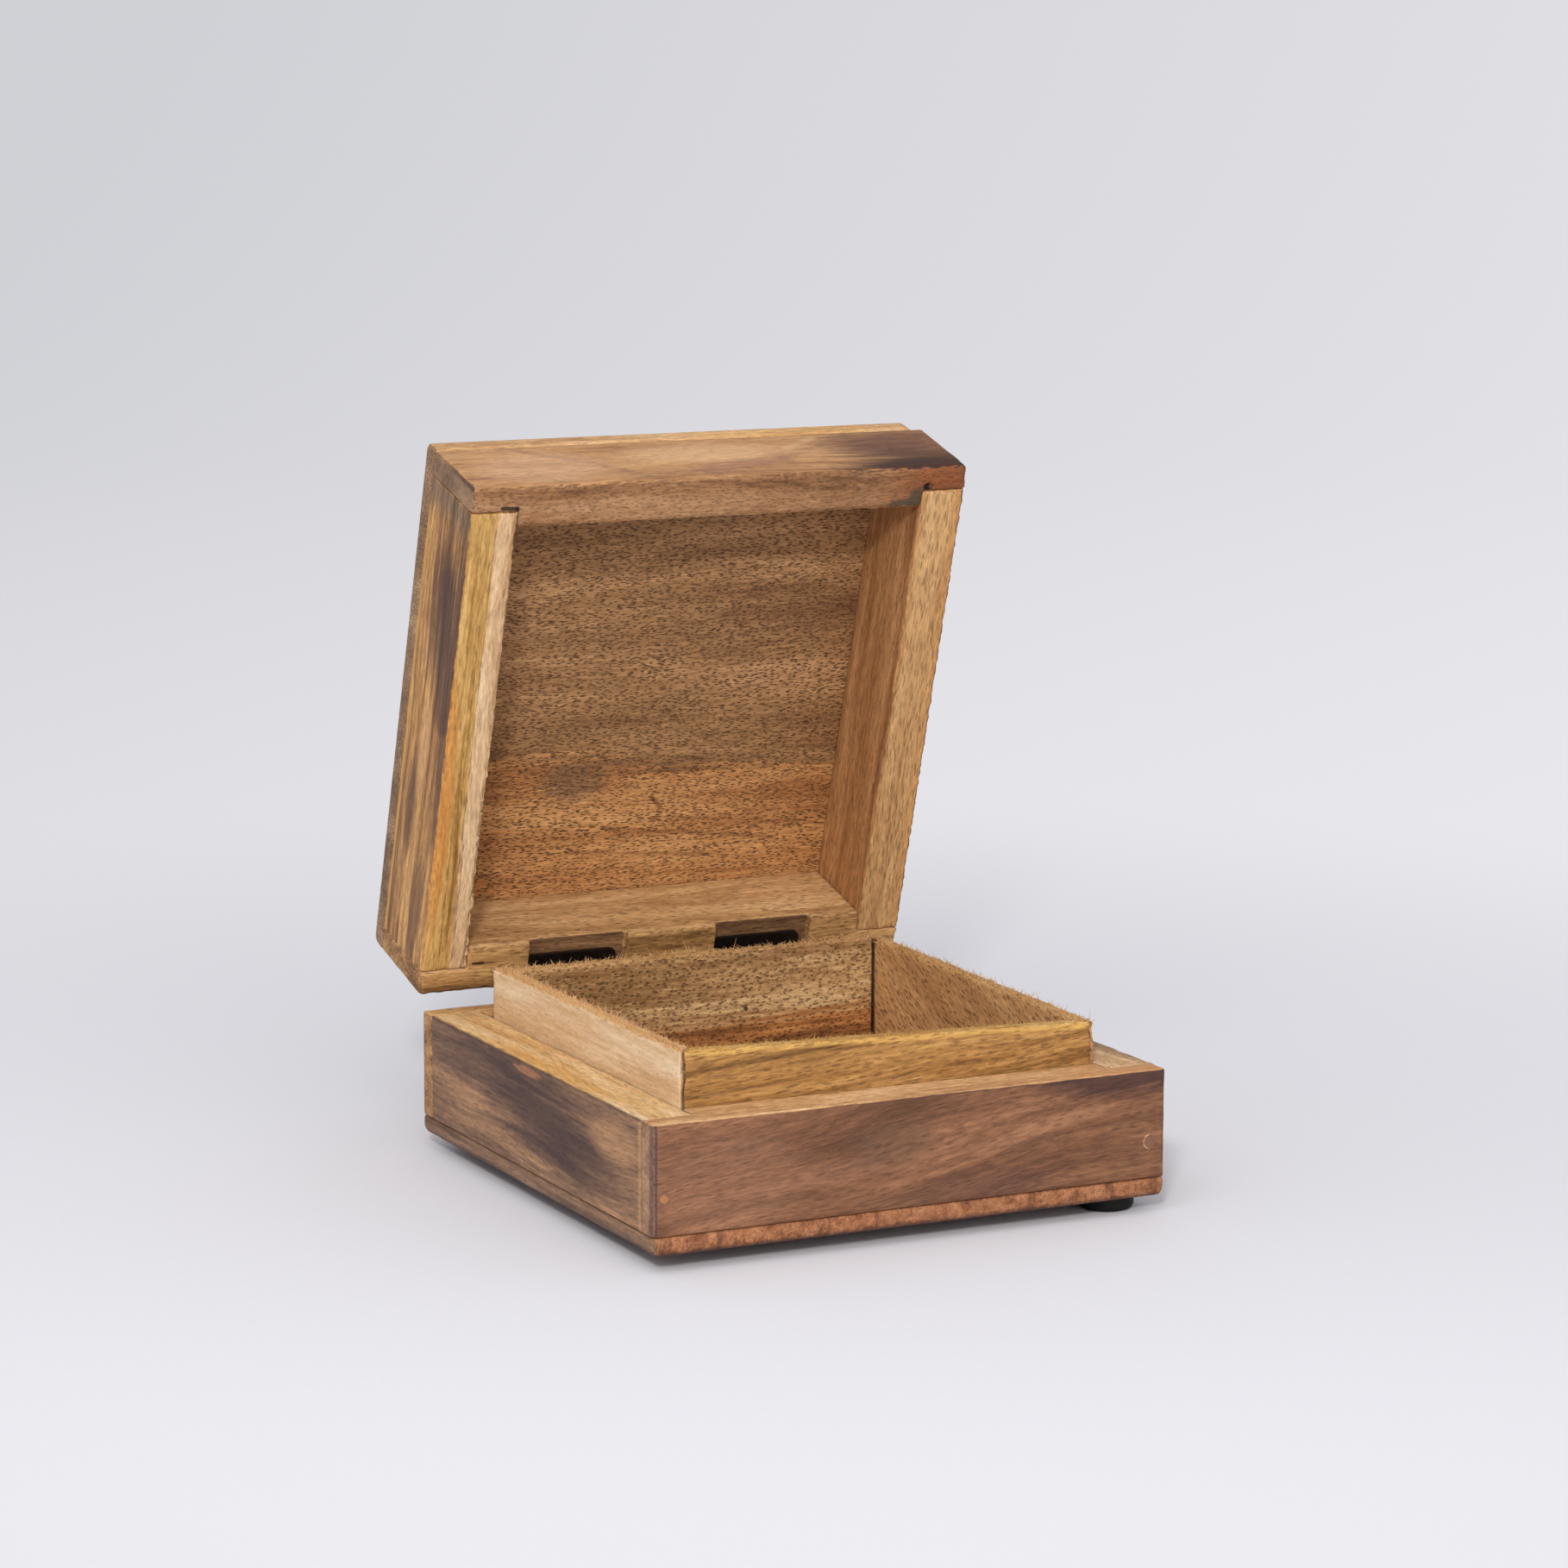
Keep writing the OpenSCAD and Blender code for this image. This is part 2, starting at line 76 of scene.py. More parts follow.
base_low, base_high = shut_box("bottom_board")
top_low, top_high = shut_box("top_board")
lid_rim = shut_box("lid_front_wall")[0].z
body_rim = shut_box("body_front_wall")[1].z
box_origin = Vector((0, (base_low.y + base_high.y) / 2, base_low.z))
lid_origin = Vector((0, box_origin.y, lid_rim))
print("The lid stands", round(math.degrees(open_angle), 1), "degrees open")

# %% [markdown]
# ## Tools of the workshop
# A board starts as a cube primitive at its size and place. Rabbets and hinge recesses are sawn out of it
# with a Boolean modifier, and its outer edges are rounded with the bevel operator. An operator acts on
# all that is selected, so each helper first leaves only its own piece selected.

# %% Starting a piece and working on it


def alone(piece):
    """Leaves only this piece selected and active."""
    bpy.ops.object.select_all(action="DESELECT")
    piece.select_set(True)
    bpy.context.view_layer.objects.active = piece


def apply_modifier(piece, kind, **settings):
    """Adds one modifier with its settings and applies it."""
    alone(piece)
    modifier = piece.modifiers.new(kind, kind)
    for name, value in settings.items():
        setattr(modifier, name, value)
    bpy.ops.object.modifier_apply(modifier=modifier.name)


def plank(name, low, high):
    """A board as it leaves the saw, between its lowest and highest corners."""
    bpy.ops.object.select_all(action="DESELECT")
    bpy.ops.mesh.primitive_cube_add(size=1)
    board = bpy.context.object
    board.name = name
    bpy.ops.object.mode_set(mode="EDIT")
    bpy.ops.transform.resize(value=high - low)
    bpy.ops.transform.translate(value=(low + high) / 2)
    bpy.ops.object.mode_set(mode="OBJECT")
    return board


def saw_out(board, low, high):
    """Takes a box-shaped piece out of a board."""
    waste = plank("waste", Vector(low), Vector(high))
    apply_modifier(board, "BOOLEAN", object=waste, operation="DIFFERENCE", solver="EXACT")
    bpy.data.objects.remove(waste)


def round_edges(board, radius, wanted, segments=5):
    """Bevels the edges for which wanted(middle, direction) is true."""
    alone(board)
    bpy.ops.object.mode_set(mode="EDIT")
    bpy.ops.mesh.select_mode(type="EDGE")
    bpy.ops.mesh.select_all(action="DESELECT")
    bpy.ops.object.mode_set(mode="OBJECT")
    points = board.data.vertices
    for edge in board.data.edges:
        start, end = (points[i].co for i in edge.vertices)
        edge.select = bool(wanted((start + end) / 2, (end - start).normalized()))
    bpy.ops.object.mode_set(mode="EDIT")
    bpy.ops.mesh.bevel(offset=radius, segments=segments, affect="EDGES")
    bpy.ops.object.mode_set(mode="OBJECT")


def copy_of(node, name):
    """A copy of a node's mesh, with its loose triangles merged into one skin."""
    piece = bpy.data.objects.new(name, frame["nodes"][node].data.copy())
    bpy.context.scene.collection.objects.link(piece)
    alone(piece)
    bpy.ops.mesh.customdata_custom_splitnormals_clear()
    bpy.ops.object.mode_set(mode="EDIT")
    bpy.ops.mesh.select_all(action="SELECT")
    bpy.ops.mesh.remove_doubles(threshold=0.002 * mm)
    bpy.ops.mesh.dissolve_limited(angle_limit=math.radians(0.5))
    bpy.ops.object.mode_set(mode="OBJECT")
    return piece


# %% [markdown]
# ## Wear
# No edge of the real box is crisp: each is rubbed back by a different amount from one centimetre to the
# next, the sawn faces are slightly wavy, and here and there a chip is missing. A bump map could not
# show that on the outline, so the mesh itself is cut into small even faces by a voxel remesh and each
# point is moved inwards by a noise that is strongest at the edges. Inwards only, so that no board grows
# past its real size.

# %% Working the edges back


def noise_at(points, stretch, offset=0.0):
    """Smooth noise from -1 to 1 at every point, stretched differently along each axis."""
    places = points * np.array(stretch) + offset
    return np.array([noise.noise(Vector(place)) for place in places])


def read_points(piece):
    """Places and normals of a mesh's points, as two arrays."""
    count = len(piece.data.vertices)
    places = np.zeros(count * 3)
    normals = np.zeros(count * 3)
    piece.data.vertices.foreach_get("co", places)
    piece.data.vertices.foreach_get("normal", normals)
    return places.reshape(-1, 3), normals.reshape(-1, 3)


def write_points(piece, places):
    """Puts a mesh's points at new places."""
    piece.data.vertices.foreach_set("co", places.astype(np.float32).ravel())
    piece.data.update()


def wear(piece, cell, edge_wear, grain=(60, 500, 500), wave=0.05 * mm, chips=(), bites=(), joints=(),
         seed=0):
    """Remeshes a piece into cells and moves its points inwards.

    chips are (middle, radius, depth) dents, and bites are (function, depth) pairs, where the function
    gives how much of a ragged loss each point may suffer. joints are (axis, place) pairs: planes in
    which the piece is glued to another, so that its edges were never rubbed.
    """
    low, high = (np.array(corner) for corner in mesh_box(piece))
    apply_modifier(piece, "REMESH", mode="VOXEL", voxel_size=cell, use_smooth_shade=True)
    places, normals = read_points(piece)
    rub_reach, joint_reach, ragged_grain = 0.55 * mm, 0.8 * mm, (900, 900, 900)
    to_faces = np.sort(np.minimum(places - low, high - places), axis=1)
    edge = np.exp(-((to_faces[:, 1] / rub_reach) ** 2))
    along_edge = 0.5 + 0.9 * noise_at(places, (260, 260, 260), seed * 7.3)
    sawn = 0.5 + 0.5 * noise_at(places, grain, seed * 3.1)
    loss = edge * edge_wear * np.clip(along_edge, 0.15, 1.4)
    for axis, place in joints:
        loss = loss * (1 - 0.85 * np.exp(-(((places[:, axis] - place) / joint_reach) ** 2)))
    loss = loss + wave * sawn
    for where, depth in bites:
        ragged = np.clip(noise_at(places, ragged_grain, seed) + 0.35, 0, 1)
        loss = loss + depth * where(places) * edge * ragged
    for middle, radius, depth in chips:
        distance = np.linalg.norm(places - np.array(middle), axis=1)
        loss = loss + depth * np.clip(1 - (distance / radius) ** 2, 0, 1)
    write_points(piece, places - normals * loss[:, None])


def mesh_box(piece):
    """Lowest and highest corners of a mesh."""
    places, _ = read_points(piece)
    return Vector(places.min(0)), Vector(places.max(0))


# %% [markdown]
# ## Shader maths as plain sums
# Wood needs many small sums, and a sum made of Math nodes is hard to read. Here one small class wraps a
# socket, and writing an expression on it adds the nodes. Colours never go through Math nodes, which
# would turn them grey: they go through Mix and Vector Math instead.

# %% A wrapped socket, and a material being painted


def linear(red, green, blue):
    """A colour as a camera file gives it, 0 to 255, turned into the shader's linear numbers."""
    shares = [channel / 255 for channel in (red, green, blue)]
    return tuple([s / 12.92 if s < 0.04 else ((s + 0.055) / 1.055) ** 2.4 for s in shares] + [1])


class Shade:
    """A socket whose value changes over a surface."""

    def __init__(self, paint, socket):
        self.paint = paint
        self.socket = socket

    def maths(self, operation, first, second=0.0):
        return self.paint.add("Math", {"operation": operation}, {0: first, 1: second})

    def __add__(self, other):
        return self.maths("ADD", self, other)

    def __sub__(self, other):
        return self.maths("SUBTRACT", self, other)

    def __rsub__(self, other):
        return self.maths("SUBTRACT", other, self)

    def __mul__(self, other):
        return self.maths("MULTIPLY", self, other)

    def __truediv__(self, other):
        return self.maths("DIVIDE", self, other)

    def __abs__(self):
        return self.maths("ABSOLUTE", self)

    __radd__ = __add__
    __rmul__ = __mul__


class Paint:
    """A material in the making."""

    def __init__(self, name):
        self.material = bpy.data.materials.new(name)
        self.material.use_nodes = True
        self.tree = self.material.node_tree
        self.tree.nodes.clear()

    def add(self, kind, settings, sockets, out=0):
        """Adds a node, sets it and then its sockets, and gives one of its outputs."""
        made = self.tree.nodes.new("ShaderNode" + kind)
        for name, value in settings.items():
            if name == "stops":
                self.set_stops(made.color_ramp, value)
            else:
                setattr(made, name, value)
        for name, value in sockets.items():
            if isinstance(value, Shade):
                self.tree.links.new(value.socket, made.inputs[name])
            else:
                made.inputs[name].default_value = value
        return Shade(self, made.outputs[out])

    def set_stops(self, ramp, stops):
        while len(ramp.elements) < len(stops):
            ramp.elements.new(1)
        for element, (position, colour) in zip(ramp.elements, stops):
            element.position = position
            element.color = colour

    def smooth(self, value, start, end):
        """0 up to start and 1 past end, with a soft step between them."""
        return self.add("MapRange", {"interpolation_type": "SMOOTHSTEP"}, {0: value, 1: start, 2: end})

    def mix(self, share, first, second):
        """Second colour over the first."""
        return self.add("Mix", {"data_type": "RGBA"}, {0: share, 6: first, 7: second}, out=2)

    def ramp(self, value, colours):
        """Even steps from the first colour to the last."""
        last = len(colours) - 1
        stops = [(i / last, linear(*colour)) for i, colour in enumerate(colours)]
        return self.add("ValToRGB", {"stops": stops}, {0: value})

    def vector(self, operation, first, second, out=0):
        return self.add("VectorMath", {"operation": operation}, {0: first, 1: second}, out)

    def dim(self, colour, amount):
        """A colour times a number."""
        return self.add("VectorMath", {"operation": "SCALE"}, {0: colour, 3: amount})

    def noise(self, place, scale=1.0, detail=2.0, roughness=0.5, out=0):
        sockets = {"Vector": place, "Scale": scale, "Detail": detail, "Roughness": roughness}
        return self.add("TexNoise", {}, sockets, out)

    def cells(self, place):
        """Distance to the nearest of many scattered points."""
        return self.add("TexVoronoi", {}, {"Vector": place, "Scale": 1.0})

    def finish(self, roughness, shine=0.5, **sockets):
        """Wires the shader up and gives the material."""
        values = {"Roughness": roughness, "Specular IOR Level": shine, **sockets}
        self.shader = self.add("BsdfPrincipled", {}, values)
        self.end = self.tree.nodes.new("ShaderNodeOutputMaterial")
        self.tree.links.new(self.shader.socket, self.end.inputs["Surface"])
        return self.material

    def blend(self, share, other):
        """Shows another shader over the finished one where share says so."""
        mixed = self.add("MixShader", {}, {0: share, 1: self.shader, 2: other})
        self.tree.links.new(mixed.socket, self.end.inputs["Surface"])


# %% [markdown]
# ## The wood
# A board is cut out of a solid block, so its pattern is made as a solid too: the grain lines run through
# the board and come out on its ends as dots. Object coordinates are turned back to the shut box and
# counted in millimetres, then stretched along the grain. Four layers make the wood: slow bands of colour,
# long streaks, fine fibres, and short dark pores that are also little dents in the surface.

# %% Wood in four layers
front = (0, -1, 0)
left = (-1, 0, 0)
right = (1, 0, 0)
up = (0, 0, 1)
down = (0, 0, -1)
burnt = (66, 46, 45)
pore_tone = linear(66, 40, 24)


def lifted(pair, axis, place):
    """A pair of numbers on a face, with the face's own place put in on the axis that it lies across."""
    return (*pair[:axis], place, *pair[axis:])


class Wood(Paint):
    """The finish of one board. Places are in millimetres, x to the right, y to the back and z up from
    the underside of the lower half, or from the lid's rim for a board of the lid. The three numbers of
    pores are the length and width of the cell that each pore has to itself, and how much it fills."""

    def __init__(self, name, grain, tones, on_lid=False, band=0.22, lean=0.0, drift=5.0, seed=0,
                 pores=(2.6, 0.6, 0.28), pore_depth=0.5, fibre=0.8):
        super().__init__(name)
        origin = lid_origin if on_lid else box_origin
        turn = shutting if on_lid else Matrix()
        self.normal_turn = turn.inverted().to_3x3()
        where = {"Location": (turn.to_translation() - origin) / mm, "Rotation": turn.to_euler(),
                 "Scale": (1 / mm, 1 / mm, 1 / mm)}
        self.object_place = self.add("TexCoord", {}, {}, out=3)
        self.object_normal = self.add("TexCoord", {}, {}, out=1)
        self.place = self.add("Mapping", {}, {"Vector": self.object_place, **where})
        self.x, self.y, self.z = (self.add("SeparateXYZ", {}, {0: self.place}, out=i) for i in range(3))
        along, across, deep = ({"x": self.x, "y": self.y, "z": self.z}[letter] for letter in grain)
        cosine, sine = math.cos(math.radians(lean)), math.sin(math.radians(lean))
        sockets = {0: along * cosine + across * sine + 61.0 * seed,
                   1: across * cosine - along * sine + 23.0 * seed, 2: deep + 37.0 * seed}
        straight = self.add("CombineXYZ", {}, sockets)
        wander = self.noise(self.vector("MULTIPLY", straight, (0.016, 0.05, 0.05)), detail=1, out=1)
        settings = {"operation": "MULTIPLY_ADD"}
        self.grain = self.add("VectorMath", settings, {0: wander, 1: (0, drift, drift), 2: straight})
        self.bands = self.noise(self.stretch(0.012, band, band), detail=3, roughness=0.6)
        self.streaks = self.noise(self.stretch(0.05, 1.1, 1.1), detail=2)
        self.fibres = self.noise(self.stretch(0.3, 2.2, 2.2), detail=4, roughness=0.75)
        self.depth = self.smooth(self.bands * 0.6 + self.streaks * 0.25 + self.fibres * 0.15, 0.33, 0.67)
        self.tone = self.ramp(self.depth, tones)
        self.pores = self.scattered(*pores)
        self.pore_depth = pore_depth
        self.fibre = fibre

    def stretch(self, along, across, deep):
        return self.vector("MULTIPLY", self.grain, (along, across, deep))

    def scattered(self, long, wide, fill):
        """Short dashes along the grain."""
        dots = self.cells(self.stretch(1 / long, 1 / wide, 1 / wide))
        reach = fill + (self.streaks - 0.5) * 0.4
        return self.smooth(dots, reach + 0.06, reach - 0.1)

    def peppered(self, share, *pores):
        """Gives a part of the board pores of another size."""
        kept = self.pores * (1 - share)
        self.pores = kept + self.scattered(*pores) * share

    def faces(self, way, sharp=0.75):
        """1 on the faces that look one way, when the box is shut."""
        turned = self.normal_turn @ Vector(way)
        dot = self.vector("DOT_PRODUCT", self.object_normal, turned, out=1)
        return self.smooth(dot, sharp - 0.15, sharp + 0.1)

    def spot(self, middle, size, soft=0.35, ragged=0.9):
        """A patch that is 1 in its middle, and whose edge follows the streaks of the wood."""
        away = self.vector("MULTIPLY", self.vector("SUBTRACT", self.place, middle),
                           tuple(1 / side for side in size))
        distance = self.vector("LENGTH", away, (0, 0, 0), out=1)
        return self.smooth(distance + (self.streaks - 0.5) * ragged, 1 + soft, 1 - soft)

    def stroke(self, start, end, half, soft=0.6, ragged=1.0):
        """A line between two places, half its width thick and soft at its edges."""
        line = Vector(end) - Vector(start)
        away = self.vector("SUBTRACT", self.place, start)
        along = self.vector("DOT_PRODUCT", away, line.normalized(), out=1)
        along = self.held(along, 0.0, line.length)
        nearest = self.dim(tuple(line.normalized()), along)
        distance = self.vector("DISTANCE", away, nearest, out=1)
        return self.smooth(distance + (self.fibres - 0.5) * ragged, half + soft, half)

    def held(self, value, low, high):
        """A value held between two limits."""
        return self.add("Clamp", {}, {0: value, 1: low, 2: high})

    def stripe(self, value, middle, half, soft=0.3):
        """1 where a value lies within half of middle."""
        return self.smooth(abs(value - middle), half + soft, half)

    def stain(self, share, colour):
        """Lays one colour over the wood where share says so."""
        self.tone = self.mix(share, self.tone, linear(*colour))

    def burn(self, share):
        self.stain(share, burnt)

    def grained(self, share, tones):
        """Other tones of the same grain, where share says so."""
        self.tone = self.mix(share, self.tone, self.ramp(self.depth, tones))

    def patches(self, face, rows, on=None, deep=4, **shape):
        """Stains with ragged edges on one face, given as an axis and the face's place on it. A row holds
        a patch's middle and size along the other two axes, its strength and its colour."""
        for middle, size, strength, colour in rows:
            share = self.spot(lifted(middle, *face), lifted(size, face[0], deep), **shape)
            self.stain((share if on is None else share * on) * strength, colour)

    def lines(self, face, rows, on=None, **shape):
        """Drawn lines on one face. A row holds where a line starts and ends, half its width, how soft it
        is, its strength and its colour."""
        for start, end, half, soft, strength, colour in rows:
            share = self.stroke(lifted(start, *face), lifted(end, *face), half, soft, **shape)
            self.stain((share if on is None else share * on) * strength, colour)

    def gap(self, start, end, half):
        """An open joint: a thin line that is nearly black."""
        self.stain(self.stroke(start, end, half, soft=0.16, ragged=0.3) * 0.9, (34, 22, 16))

    def done(self, gain=1.0, roughness=0.62, relief=0.12, shine=0.3):
        """Adds fibres and pores over all stains, and gives the material."""
        lit = self.dim(self.tone, (self.fibres * 2 * self.fibre + (1 - self.fibre)) * gain)
        colour = self.mix(self.pores * self.pore_depth, lit, pore_tone)
        height = self.fibres - self.pores * self.pore_depth
        bump = self.add("Bump", {}, {"Height": height, "Strength": 0.8, "Distance": relief * mm})
        rough = self.fibres * 0.2 + (roughness - 0.1)
        return self.finish(rough, shine, **{"Base Color": colour, "Normal": bump})


# %% [markdown]
# ## Camera and light
# The photograph was taken from the left of the front, a little above the lid, with a long lens. The
# light is one small lamp to the left of the front, whose shadow edges show inside the lid, two large
# soft ones and a pale room. A pale sheet runs under the box and rises behind it. It is a bowl, so that
# it closes the view from every side. Far from the box it shows the camera a painted glow instead of its
# lit colour: painted light, darker toward the top and the left, as light falls off across a backdrop.

# %% The camera
photo_side = 1818
photo_focal = 5750.4
sensor = 36.0
azimuth, elevation, roll = (math.radians(angle) for angle in (26.585, 9.609, 0.218))
camera_place = Vector((-392.82, -784.22, 218.38)) * mm + box_origin

ahead = Vector((math.sin(azimuth) * math.cos(elevation), math.cos(azimuth) * math.cos(elevation),
                -math.sin(elevation)))
level = ahead.cross(Vector((0, 0, 1))).normalized()
upright = level.cross(ahead)
side_way = level * math.cos(roll) + upright * math.sin(roll)
up_way = upright * math.cos(roll) - level * math.sin(roll)

camera_data = bpy.data.cameras.new("camera")
camera_data.sensor_width = sensor
camera_data.lens = photo_focal * sensor / photo_side
camera = bpy.data.objects.new("camera", camera_data)
camera.matrix_world = Matrix((side_way, up_way, -ahead)).transposed().to_4x4()
camera.location = camera_place
bpy.context.scene.collection.objects.link(camera)
bpy.context.scene.camera = camera
print("The camera stands", round((camera_place - box_origin).length, 3), "m from the box")

# %% The pale sheet


def pale_sheet():
    """A wide bowl: a flat round floor whose rim curves up into a wall."""
    floor_radius, bend, steps = 1.2, 0.6, 10
    bpy.ops.object.select_all(action="DESELECT")
    bpy.ops.mesh.primitive_circle_add(vertices=96, radius=floor_radius, fill_type="NGON")
    sheet = bpy.context.object
    sheet.name = "pale_sheet"
    bpy.ops.object.mode_set(mode="EDIT")
    radius, height = floor_radius, 0.0
    for step in range(1, steps + 1):
        turn = math.radians(90) * step / steps
        wider = floor_radius + bend * math.sin(turn)
        higher = bend * (1 - math.cos(turn))
        bpy.ops.mesh.extrude_edges_move()
        bpy.ops.transform.resize(value=(wider / radius, wider / radius, 1))
        bpy.ops.transform.translate(value=(0, 0, higher - height))
        radius, height = wider, higher
    bpy.ops.object.mode_set(mode="OBJECT")
    alone(sheet)
    bpy.ops.object.shade_smooth()
    return sheet


sheet = pale_sheet()
sheet_paint = Paint("sheet")
sheet_place = sheet_paint.add("TexCoord", {}, {}, out=3)
near_colour = sheet_paint.ramp(sheet_paint.noise(sheet_place, scale=900.0, detail=1),
                               [(234, 233, 237), (238, 237, 241)])
sheet_paint.finish(0.9, shine=0.1, **{"Base Color": near_colour})
flat_place = sheet_paint.vector("MULTIPLY", sheet_place, (1, 1, 0))
away = sheet_paint.vector("LENGTH", flat_place, (0, 0, 0), out=1)
sideways = sheet_paint.vector("DOT_PRODUCT", sheet_place, (0.89, -0.45, 0), out=1)
# Painted light: far from the box the camera sees this glow instead of the lit sheet, darker toward the top and the
# left as light falls off across a backdrop.
painted_light_falloff = sheet_paint.ramp(away * 0.38 - sideways * 0.8 + 0.14,
                            [(236, 235, 240), (222, 221, 226), (208, 209, 214)])
seen_directly = sheet_paint.add("LightPath", {}, {}, out=0) + sheet_paint.add("LightPath", {}, {}, out=3)
share = sheet_paint.smooth(away, 0.09, 0.42) * seen_directly
glow = sheet_paint.add("Emission", {}, {"Color": painted_light_falloff, "Strength": 1.0})
sheet_paint.blend(share, glow)
sheet.data.materials.append(sheet_paint.material)

# %% Lamps and the room


def lamp(name, way, distance, size, watts, colour):
    """A square lamp that looks at the box from one direction."""
    place = Vector(way).normalized() * distance
    light = bpy.data.lights.new(name, "AREA")
    light.size = size
    light.energy = watts
    light.color = colour
    holder = bpy.data.objects.new(name, light)
    holder.location = place
    holder.rotation_euler = (-place).to_track_quat("-Z", "Y").to_euler()
    bpy.context.scene.collection.objects.link(holder)


lamp("key", (-0.459, -0.751, 0.475), 1.4, 0.13, 7.5, (1.0, 0.985, 0.96))
lamp("soft_box", (-0.5, -0.6, 0.8), 1.4, 0.9, 5.0, (1.0, 0.99, 0.98))
lamp("front_fill", (0.1, -1.0, 0.15), 1.4, 1.0, 4.0, (1.0, 0.99, 0.98))

world = bpy.data.worlds.new("room")
world.use_nodes = True
room = world.node_tree.nodes["Background"]
room.inputs["Color"].default_value = (0.93, 0.95, 1.0, 1)
room.inputs["Strength"].default_value = 0.58
bpy.context.scene.world = world
bpy.context.scene.view_settings.view_transform = "Standard"

# %% [markdown]
# ## Boards of the lower half
# The front and back walls run the full width, and a rabbet at each end takes the side wall, so the
# front corner shows a narrow strip of end grain from the side. The rabbet is sawn with the side wall's
# own place as the waste, which makes the two fit whatever their sizes are.

# %% Fitting a board and giving it its finish
corner_round = 1.0 * mm
past = 1.0 * mm


def on_outline(value, side):
    """Whether a place lies on the box's outer face on that side of an axis."""
    return abs(value - side) < 0.01 * mm


def upright_corners(middle, way):
    """The four outer upright edges of the box."""
    at_side = on_outline(middle.x, base_low.x) or on_outline(middle.x, base_high.x)
    at_end = on_outline(middle.y, base_low.y) or on_outline(middle.y, base_high.y)
    return abs(way.z) > 0.9 and at_side and at_end


def board(node, name):
    """The plank that stands for a node, with its outer upright corners rounded."""
    piece = plank(name, *shut_box(node))
    round_edges(piece, corner_round, upright_corners, segments=4)
    return piece


def rabbet(piece, node):
    """Makes room for a side wall, as deep as the wall reaches and past the board's free faces."""
    low, high = shut_box(node)
    low.x -= past if low.x < base_low.x + past else 0
    high.x += past if high.x > base_high.x - past else 0
    beyond = Vector((0, 0, past))
    saw_out(piece, low - beyond, high + beyond)


def recess(piece, leaf_node, rim, way):
    """The hinge recess: a little wider than the leaf, open to the inside of the box and to the back."""
    low, high = shut_box(leaf_node)
    left_play, right_play, depth = 0.1 * mm, 1.9 * mm, 1.45 * mm
    bottom_z, top_z = sorted((rim + way * depth, rim - way * past))
    saw_out(piece, (low.x - left_play, 0, bottom_z), (high.x + right_play, base_high.y + past, top_z))


def wall(part, side):
    """One wall of the lower half or the lid, with its rabbets and hinge recesses."""
    whose, rim, way = ("box", body_rim, -1) if part == "body" else ("lid", lid_rim, 1)
    piece = board(f"{part}_{side}_wall", f"{side}_wall_of_{whose}")
    if side in ("front", "back"):
        for end in ("left", "right"):
            rabbet(piece, f"{part}_{end}_wall")
    if side == "back":
        for end in ("left", "right"):
            recess(piece, f"{end}_hinge_{part}_leaf", rim, way)
    return piece


def fit(piece, body, slot, material, *nodes):
    """Gives a piece its finish and its body, and hides the nodes that it stands for. slot is not used."""
    piece.data.materials.clear()
    piece.data.materials.append(material)
    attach(piece, body)
    if nodes:
        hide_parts(*nodes)
    print(piece.name, "has", len(piece.data.polygons), "faces")


def in_box(x, y, z):
    """A place given in millimetres from the underside of the lower half."""
    return Vector((x, y, z)) * mm + box_origin


def in_lid(x, y, h):
    """A place given in millimetres from the rim of the shut lid."""
    return Vector((x, y, h)) * mm + lid_origin


# %% Finishes of the lower half
front_face = (1, -50)
left_face = (0, -50)
right_face = (0, 50)
behind = (1, 51)


